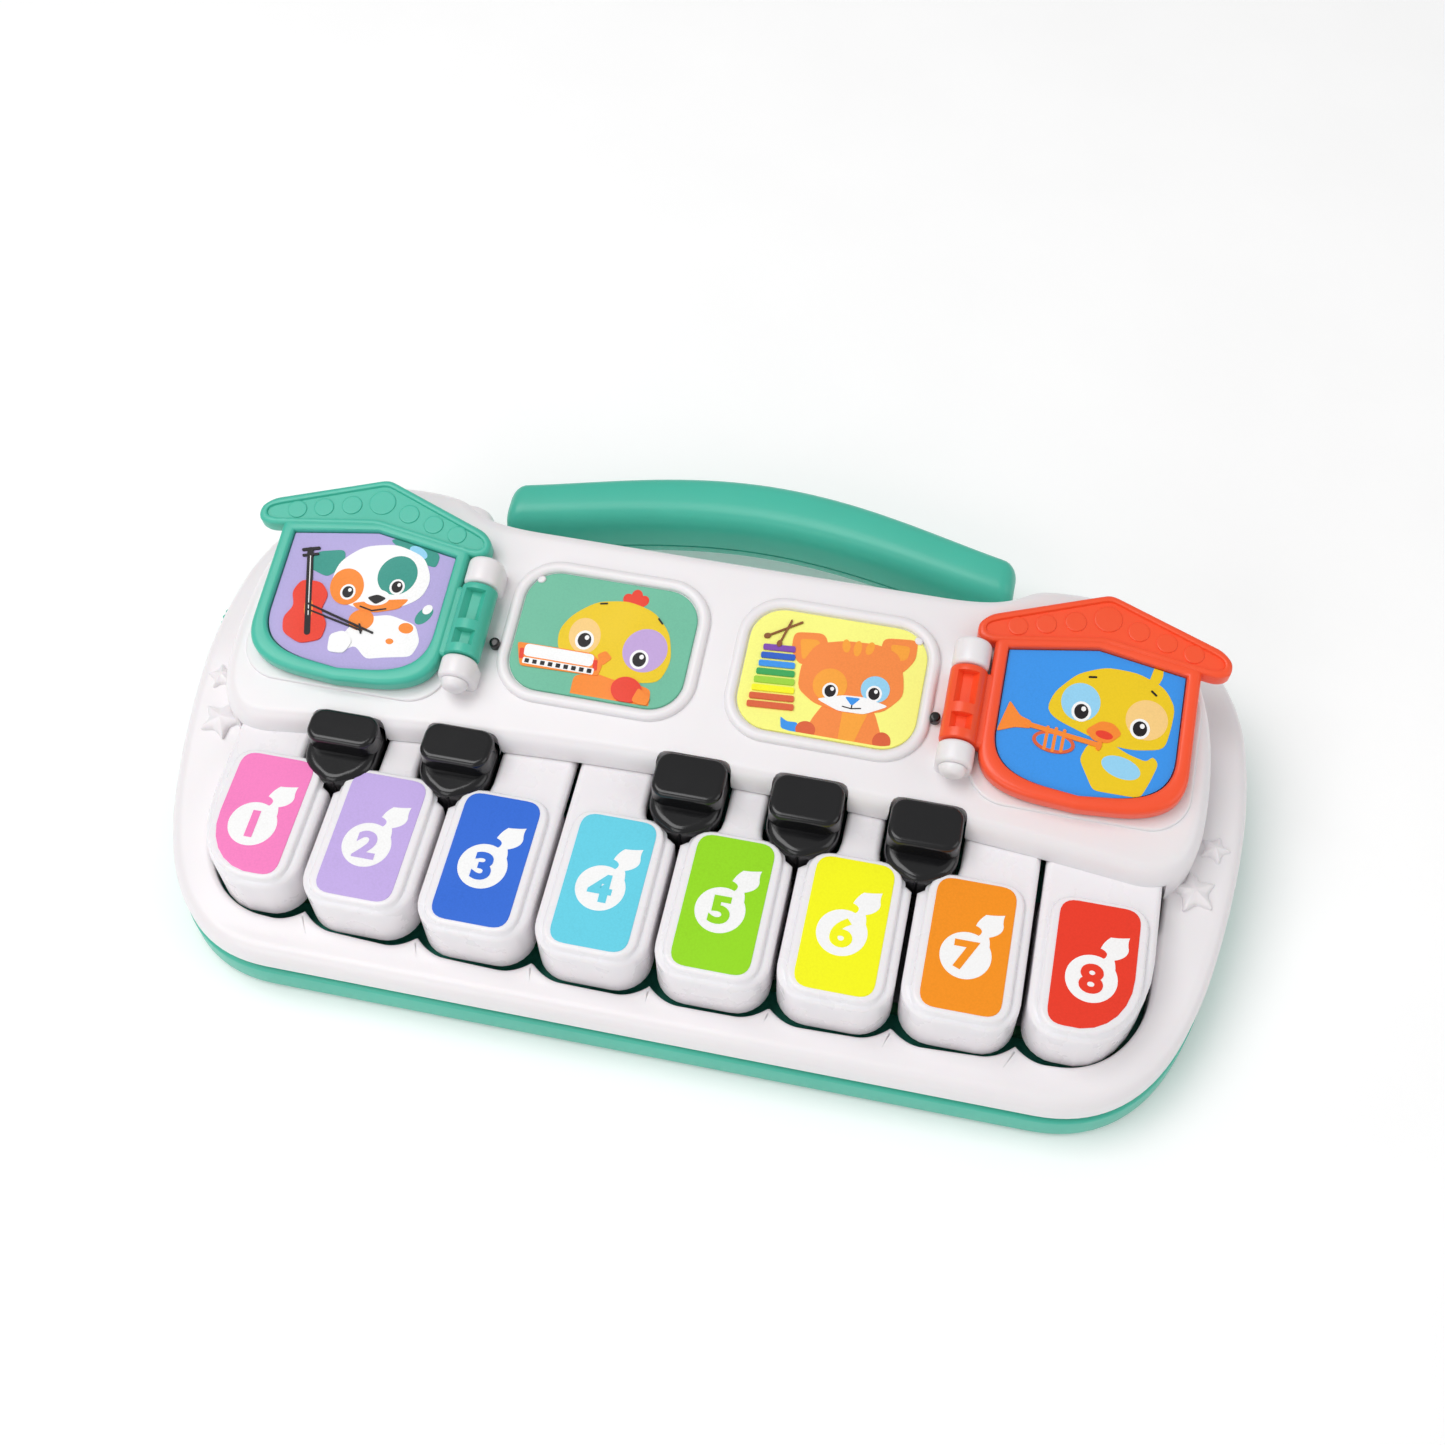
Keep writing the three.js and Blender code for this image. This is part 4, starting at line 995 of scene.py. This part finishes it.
# %% Chick with a mouth organ
def chick():
    """Chick on the right, blowing a mouth organ at the lower left."""
    return ([("orange", blob((-4.4, -17), (-4.6, -9.6), (2, -8), (13.2, -10), (13.6, -17), soft=0.8)),
             ("red", oval(3.4, 10.8, 1.3, 1.5, 24)), ("red", oval(5.1, 11.9, 1.3, 1.7, 4)),
             ("red", oval(6.8, 11.0, 1.2, 1.4, -20)), ("red", oval(5.2, 10, 2, 1.4)),
             ("gold", blob((-10.6, 0.6), (-9.8, -4.4), (-3.0, -7.8), (6.4, -9.6), (14.6, -8.2), (16.2, -2.4),
                           (14.4, 4.2), (10.0, 8.8), (3.4, 10.4), (-3.6, 9.0), (-8.4, 4.8), soft=1.5)),
             ("peach", oval(-4.4, 0.2, 3.6, 4.4, 12)), ("lilac", oval(9.8, -1.0, 5.0, 5.4, -14)),
             *eye(-4.2, -0.9, 1.7), *eye(9.0, -3.4, 1.7), ("dark", stroke(-2.6, 8.6, -1.2, 8.9, 0.2)),
             ("dark", stroke(11.2, 7.2, 12.2, 6.2, 0.2)),
             ("orange", blob((-0.6, -4.0), (1.2, -2.6), (3.0, -4.2), (1.2, -6.4), soft=0.4)),
             ("orange", blob((-19, -4.0), (-17.2, -9.6), (0.8, -9.0), (1.2, -5.8), (-2, -3.8), soft=0.5)),
             ("white", turn_box(-9.0, -5.6, 8.0, 1.5, 0, 0.9)), ("red", turn_box(-17.4, -6.6, 0.5, 1.3, 8)),
             ("red", turn_box(-0.4, -6.6, 0.5, 1.3, 8)), ("white", turn_box(-8.6, -8.2, 8.2, 0.75, 0, 0.3))]
            + [("dark", turn_box(-15.8 + 1.8 * i, -8.2, 0.5, 0.5, 0, 0.1)) for i in range(9)]
            + [("red", oval(7.8, -11.2, 3.5, 3.1, -10)),
               ("orange", blob((10.4, -10.2), (13.6, -12.2), (12.8, -14.6), (9.4, -13.6), soft=0.5))])


# %% [markdown]
# The cat is behind the right window. The xylophone's bars grow longer downwards, so one rule draws them all.

# %% Cat with a xylophone
def cat():
    """Sitting cat on the right, xylophone with two beaters on the left."""
    bars = ("purple", "blue", "azure", "leaf", "lime", "yellow", "rust", "rust")
    return ([("azure", blob((-9.6, -11.0), (-9.0, -13.8), (-5.2, -14.4), (-5.6, -11.8), (-8.0, -12.0),
                            soft=0.4)),
             ("ginger", blob((-3.4, -16), (-3.0, -11), (-0.6, -6), (10.4, -6), (12.6, -11), (14.6, -16),
                             soft=0.9)),
             ("rust", oval(-3.6, -13.2, 2.2, 2.0)), ("rust", oval(13.2, -13.0, 2.0, 2.2)),
             ("tan", blob((3.6, -6), (9.4, -6), (6.6, -17), (3.8, -17), soft=0.5)),
             ("ginger", blob((-10.4, 9.6), (-3.4, 10.4), (-1.4, 5.6), (-7.6, 1.6), (-10.2, 4.8), soft=1.1)),
             ("ginger", blob((9.4, 11.6), (17.2, 12.4), (17.4, 7.4), (14.6, 3.2), (9.4, 6.4), soft=1.1)),
             ("tan", blob((-8.8, 8.2), (-4.4, 8.6), (-3.8, 6.2), (-7.4, 3.0), soft=0.7)),
             ("tan", blob((11.2, 10.4), (15.8, 10.6), (15.6, 7.2), (12.6, 6.4), soft=0.7)),
             ("ginger", blob((-7.2, -3.8), (-7.4, 2.2), (-5.0, 7.6), (1.2, 9.4), (8.4, 9.8), (13.6, 8.4),
                             (15.4, 3.0), (16.2, -1.6), (12.4, -6.2), (4.8, -7.8), (-2.8, -6.8), soft=1.2)),
             ("tan", oval(1.7, 8.2, 0.9, 1.6, 12)), ("tan", oval(4.3, 8.0, 0.9, 1.9)),
             ("tan", oval(7.0, 8.5, 0.9, 1.6, -12)), ("tan", oval(-0.2, -1.8, 3.8, 4.0)),
             ("sky", oval(9.8, -1.1, 3.2, 3.2)), *eye(0.1, -3.2, 1.4), *eye(9.7, -2.2, 1.4),
             ("white", blob((-2.6, -5.6), (3.2, -3.7), (7.6, -3.4), (13.4, -4.6), (8.4, -7.4), (2.6, -7.6),
                            soft=0.6)),
             ("azure", blob((3.5, -4.0), (7.1, -3.8), (5.4, -6.0), soft=0.4)),
             ("dark", stroke(5.4, -5.8, 5.4, -6.4, 0.14)), ("dark", stroke(3.4, -6.4, 5.4, -6.6, 0.14)),
             ("dark", stroke(5.4, -6.6, 7.4, -6.2, 0.14))]
            + [(c, turn_box(-12.9 + 0.09 * i, 5.0 - 2.0 * i, 3.6 + 0.23 * i, 0.72, 4, 0.4)) for i,
               c in enumerate(bars)]
            + [("brown", stroke(-16.2, 7.4, -9.0, 12.1, 0.2)),
               ("brown", stroke(-13.2, 5.7, -11.4, 12.1, 0.2)), ("brown", oval(-16.1, 7.5, 0.8, 0.6, 20)),
               ("brown", oval(-13.1, 6.0, 0.6, 0.8))])


# %% [markdown]
# The duckling is on the right door. Its trumpet is a bell, one long tube and three short valves over a loop.

# %% Duckling with a trumpet
def duckling():
    """Duckling on the right, blowing a trumpet on the left."""
    return [
        ("gold", blob((-0.9, 13.6), (0.4, 17.4), (5, 18.6), (9, 16.6), (13.4, 15.4), (14.2, 17.2),
                      (15.8, 15.6), (14.4, 11), (12.8, 7), (2.8, 7), soft=0.8)),
        ("sky", oval(8.0, 13.2, 4.3, 2.4, -14)),
        ("gold", blob((11.4, 33.6), (12.4, 38.2), (14.2, 38.4), (14.4, 35.8), (13.6, 33.6), soft=0.5)),
        ("gold", blob((-9.4, 23.9), (-8.2, 28.2), (-3.8, 33.4), (2.2, 36.0), (9, 35.8), (15, 33.4),
                      (17.8, 29.1), (17.4, 24), (16.6, 18.9), (10, 17.6), (4.2, 18.0), (-3, 20.4),
                      (-7.4, 22), soft=1.3)),
        ("sky", oval(-2.3, 26.8, 4.2, 4.5)), ("peach", oval(12.1, 25.1, 4.5, 4.7)), *eye(-1.9, 24.6, 1.7),
        *eye(10.9, 22.8, 1.7), ("dark", stroke(-1.2, 33.0, 0.2, 33.2, 0.22)),
        ("dark", stroke(12.4, 32.0, 13.4, 31.2, 0.22)),
        ("orange", blob((-0.6, 20.4), (2.6, 23.2), (5.4, 23.0), (7.4, 20.8), (4.8, 18.2), (1.6, 18.2),
                        soft=0.7)),
        ("red", oval(3.6, 20.0, 1.9, 0.95, -8)),
        ("orange", blob((-17.3, 24.4), (-19.2, 16.8), (-15.4, 18.4), (-12.0, 18.7), (-12.0, 20.4),
                        (-14.6, 21.2), soft=0.4)),
        ("rust", oval(-6.8, 16.4, 4.6, 2.5, -4)), ("azure", oval(-6.8, 16.4, 3.8, 1.75, -4)),
        ("orange", stroke(-8.4, 19.6, -8.6, 14.6, 0.36)), ("orange", stroke(-6.6, 19.6, -6.8, 14.4, 0.36)),
        ("orange", stroke(-4.8, 19.4, -5.0, 14.6, 0.36)), ("orange", stroke(-13, 19.6, 2.4, 17.5, 0.55)),
        ("orange", oval(2.8, 17.4, 0.6, 1.2, -8))]


# %% [markdown]
# A door's picture is a printed card held in the frame, and a window's is printed on a slightly domed lens.
# The card or lens is the first skin of the piece and the shapes follow, so one piece carries a picture.

# %% Pictures on the doors and in the windows
DOOR_CARDS = (("left", -1, "lavender", "lavender_print", puppy()),
              ("right", 1, "azure", "blue_print", duckling()))
CARD_TOP, LENS_TOP = 4.0, 0.52
for side_name, s, ground, slot, shapes in DOOR_CARDS:
    card = tidy_loop(door_plan(s, 3.25))
    shells, inks = picture(card, [(c, loop + [s * DOOR_X, 0]) for c, loop in shapes], CARD_TOP)
    card_shell = (on_deck(slab(card, 2.75, CARD_TOP - 0.02)), 0)
    piece(f"{side_name}_door_print", [card_shell] + shells, [INKS[ground]] + inks, f"{side_name}_door",
          [f"{side_name}_door_picture"], crease=60)

WINDOWS = (("left", -1, "green", "green_print", chick(), "chick_window"),
           ("right", 1, "lemon", "yellow_print", cat(), "cat_window"))
for side_name, s, ground, slot, shapes, node in WINDOWS:
    def lens(d):
        """The window's outline moved in by d."""
        return rounded(s * WINDOW_X, WINDOW_V, 20.0 - d, 14.7 - d, 7.7 - d, 12)

    shells, inks = picture(tidy_loop(lens(0.6)), [(c, loop + [s * WINDOW_X, WINDOW_V]) for c, loop in shapes],
                           LENS_TOP)
    profile = [(0.3, -0.85), (0, -0.6), (0, 0.2)] + round_over(0, LENS_TOP - 0.02, 0.25, 3)
    piece(f"{side_name}_window_print", [(on_deck(raised(lens, profile)), 0)] + shells, [INKS[ground]] + inks,
          "case", [node], crease=60)

# %% [markdown]
# Under each door a printed panel lies in the platform; a thin edge of it shows beside the closed door. A
# little black plunger stands next to each hinge barrel, and the thumbwheel peeps out of the left wall.

# %% Panels, plungers and the thumbwheel
DOTS = ((-9, 5, 4), (9, 5, 4), (0, -5, 5), (-12, -8, 2.4), (12, -8, 2.4), (0, 8, 2.6))
PLUNGER_X, PLUNGER_V = 49.9, 18.6
for side_name, s in SIDES:
    flat = raised(lambda d: rounded(s * DOOR_X, 20, 17.2 - d, 13.7 - d, 5.7 - d, 8),
                  [(0, -0.3)] + round_over(0, 0.62, 0.1, 2))
    shells = [(on_deck(flat), 0)]
    for i, (dx, dv, r) in enumerate(DOTS):
        dot = slab(oval(s * DOOR_X + dx, 20 + dv, r, r), 0.5, 0.66 + 0.01 * i)
        shells.append((on_deck(dot), 1 + i % 3))
    piece(f"{side_name}_panel_print", shells, [INKS["lemon"], INKS["orange"], INKS["sky"], INKS["teal"]],
          "case",
          [f"{side_name}_under_panel"], crease=60)
    rod = raised(lambda d: oval(s * PLUNGER_X, PLUNGER_V, 1.2 - d, 1.2 - d, n=28),
                 [(0, -2.8), (0, 0)] + round_over(0, 2.2, 0.5)[:-1] + [(0.9, 2.2)])
    flange = raised(lambda d: oval(s * PLUNGER_X, PLUNGER_V, 2.2 - d, 2.2 - d, n=28),
                    [(0.2, -4.4), (0, -4.2), (0, -3.0), (0.2, -2.8)])
    piece(f"{side_name}_plunger_rod", [(on_deck(rod), 0), (on_deck(flange), 0)], [black_gloss],
          f"{side_name}_plunger",
          [f"{side_name}_plunger"])


def ribbed(x, y, r, z0, z1, ribs):
    """A wheel whose rim waves in and out: the radius is r - 0.28 plus 0.28 times the signed square root of
    cos(ribs * angle), and it is drawn in at both faces."""
    t = np.linspace(0, 2 * np.pi, ribs * 8, endpoint=False)
    wave = np.cos(ribs * t)
    rim = r - 0.28 + 0.28 * np.sign(wave) * np.abs(wave) ** 0.5
    lower = [(1.6, z0), (1.0, z0), (0.45, z0 + 0.05), (0.1, z0 + 0.4), (0, z0 + 0.8)]
    steps = lower + [(d, z0 + z1 - z) for d, z in lower[::-1]]
    return loft([np.stack([x + (rim - d) * np.cos(t), y + (rim - d) * np.sin(t), z + 0 * t], 1) for d,
                 z in steps])


WHEEL_X, WHEEL_Y, POST_R = -114, 56.5, 1.65
wheel = ribbed(WHEEL_X, WHEEL_Y, 8.5, -14.3, -10.3, 30)
post = raised(lambda d: oval(WHEEL_X, WHEEL_Y, POST_R - d, POST_R - d, n=24),
              [(0, -16.2), (0, -8.8), (0.3, -8.5)])
piece("thumbwheel", [(wheel, 0), (post, 0)], [teal_abs], "side_wheel", ["side_wheel"])

# %% [markdown]
# The parts inside and underneath keep the frame's own bodies. They still get their true materials: rubber
# with a fine speckle, brushed and plated metal with fine scratches, a circuit board with a woven look, the
# paper cone of the speaker with rings, and the printed sleeve of a battery cell.

# %% Materials of the inner parts
def brushed(name, rgb, rough, stretch):
    """Metal with scratches along one axis: a noise squeezed across that axis drives the gloss and bump."""
    m, nodes, links, shader, where = start_material(name)
    squeeze = nodes.new("ShaderNodeMapping")
    squeeze.inputs["Scale"].default_value = stretch
    links.new(where, squeeze.inputs["Vector"])
    lines = noise(nodes, links, squeeze.outputs["Vector"], 900, 3)
    c = linear(*rgb)
    dark = tuple(np.array(c[:3]) * 0.8) + (1.0,)
    links.new(blend_colours(nodes, links, ranged(nodes, links, lines, 0, 1), dark, c),
              shader.inputs["Base Color"])
    links.new(ranged(nodes, links, lines, rough * 0.7, rough * 1.4), shader.inputs["Roughness"])
    shader.inputs["Metallic"].default_value = 1.0
    bump = nodes.new("ShaderNodeBump")
    bump.inputs["Strength"].default_value, bump.inputs["Distance"].default_value = 0.15, 0.0001
    links.new(lines, bump.inputs["Height"])
    links.new(bump.outputs["Normal"], shader.inputs["Normal"])
    return m


def banded(name, rgb_a, rgb_b, scale, rough, rings=False, distort=0.0):
    """Bands or rings of two colours: a sine wave of that scale across the piece, or round its own z axis."""
    m, nodes, links, shader, where = start_material(name)
    wave = nodes.new("ShaderNodeTexWave")
    wave.wave_type = "RINGS" if rings else "BANDS"
    wave.rings_direction = "Z"
    wave.inputs["Scale"].default_value, wave.inputs["Distortion"].default_value = scale, distort
    links.new(where, wave.inputs["Vector"])
    mixed = blend_colours(nodes, links, wave.outputs["Fac"], linear(*rgb_a), linear(*rgb_b))
    links.new(mixed, shader.inputs["Base Color"])
    links.new(ranged(nodes, links, noise(nodes, links, where, 300), rough * 0.8, rough * 1.2),
              shader.inputs["Roughness"])
    return m


steel = brushed("steel", (196, 198, 202), 0.24, (0.05, 1, 1))
zinc = brushed("zinc", (184, 182, 172), 0.34, (1, 1, 0.2))
nickel = brushed("nickel", (206, 200, 188), 0.22, (1, 0.2, 1))
grey_rubber = plastic("grey_rubber", (120, 120, 124), rough=0.78, grain=0.5, shade=0.18)
board_green = banded("board_green", (24, 96, 56), (30, 112, 66), 420, 0.45, distort=1.0)
dark_plastic = plastic("dark_plastic", (44, 44, 48), rough=0.45, grain=0.3, shade=0.2)
paper_cone = banded("paper_cone", (42, 40, 40), (70, 66, 64), 260, 0.85, rings=True)
ferrite = plastic("ferrite", (70, 68, 70), rough=0.6, grain=0.5, shade=0.25, metal=0.4)
cell_sleeve = banded("cell_sleeve", (30, 120, 84), (40, 150, 108), 60, 0.35)
led_lens = plastic("led_lens", (250, 244, 214), rough=0.12, coat=0.6, shade=0.06, soft=0.2)
NODE_FINISH = {
    "base_shell": teal_abs, "battery_door": teal_abs, "key_axle": steel, "key_board": board_green,
    "main_board": board_green,
    "contact_strip": grey_rubber, "speaker_frame": dark_plastic, "speaker_cone": paper_cone,
    "speaker_magnet": ferrite,
    "battery_1": cell_sleeve, "battery_2": cell_sleeve, "battery_3": cell_sleeve,
    "battery_contact_front": nickel,
    "battery_contact_rear": nickel, "battery_door_screw": zinc, "power_slider": dark_plastic,
    "side_wheel": teal_abs,
    "left_led": led_lens, "right_led": led_lens}
NODE_FINISH.update({f"case_screw_{n}": zinc for n in range(1, 7)})
NODE_FINISH.update({f"rubber_foot_{n}": grey_rubber for n in range(1, 5)})
for name, finish in NODE_FINISH.items():
    for holder in bpy.data.objects[name].material_slots:
        holder.material = finish
print("materials on frame nodes:", len(NODE_FINISH))

# %% [markdown]
# The toy stands on a pale floor in a bright, soft studio: one large light overhead, one from the front
# left and one from the right, and a bright surround, so that the contact shadow is faint.

# %% Floor and lights
def studio_floor():
    """A disc of 4 m radius under the feet, made of rings that shrink towards its middle."""
    t = np.linspace(0, 2 * np.pi, 96, endpoint=False)
    r = np.array([4.0, 1.2, 0.4, 0.05])[:, None]
    verts, faces = loft(np.stack([r * np.cos(t), r * np.sin(t), 0 * r * t], -1), low=False)
    mesh = bpy.data.meshes.new("studio_floor")
    mesh.from_pydata(verts.tolist(), [], faces)
    obj = bpy.data.objects.new("studio_floor", mesh)
    bpy.context.scene.collection.objects.link(obj)
    paper = plastic("studio_white", (253, 253, 253), rough=0.9, grain=0.0, shade=0.01)
    shader = paper.node_tree.nodes["Principled BSDF"]
    shader.inputs["Emission Color"].default_value = (1, 1, 1, 1)
    shader.inputs["Emission Strength"].default_value = 0.1
    mesh.materials.append(paper)


studio_floor()


def softbox(name, location, target, size, watts):
    """A square area light that faces a target point."""
    lamp = bpy.data.lights.new(name, "AREA")
    lamp.size, lamp.energy = size, watts
    obj = bpy.data.objects.new(name, lamp)
    obj.location = location
    obj.rotation_euler = (Vector(target) - Vector(location)).to_track_quat("-Z", "Y").to_euler()
    bpy.context.scene.collection.objects.link(obj)


softbox("top_light", (-0.45, -0.05, 1.1), (0, 0, 0), 0.8, 6.8)
softbox("front_light", (-0.5, -1.1, 0.7), (0, 0, 0), 0.8, 3.4)
softbox("side_light", (1.1, -0.1, 0.7), (0, 0, 0), 0.8, 2.3)
world = bpy.data.worlds.new("surround")
world.use_nodes = True
background = world.node_tree.nodes["Background"]
background.inputs["Color"].default_value, background.inputs["Strength"].default_value = (1, 1, 1, 1), 0.42
bpy.context.scene.world = world
bpy.context.scene.view_settings.view_transform = "Standard"
print("lights, W:", {lamp.name: lamp.energy for lamp in bpy.data.lights})

# %% [markdown]
# The camera looks down from the front left, close enough for clear perspective, so that the far keys look
# smaller. It could track an empty object, but a fixed stand and three turns also keep its slight roll.

# %% Camera
TILT, ROLL, TURN = 32.340, 0.875, 12.044       # degrees about x, y and z, in that order
camera = bpy.data.objects.new("camera", bpy.data.cameras.new("camera"))
camera.data.lens, camera.data.sensor_width, camera.data.clip_start = 46.48, 36, 0.01
camera.location = (0.05614, -0.21976, 0.38211)
camera.rotation_euler = np.radians([TILT, ROLL, TURN])
bpy.context.scene.collection.objects.link(camera)
bpy.context.scene.camera = camera
print("camera stands", round(camera.location.length, 3), "m from the toy's foot")
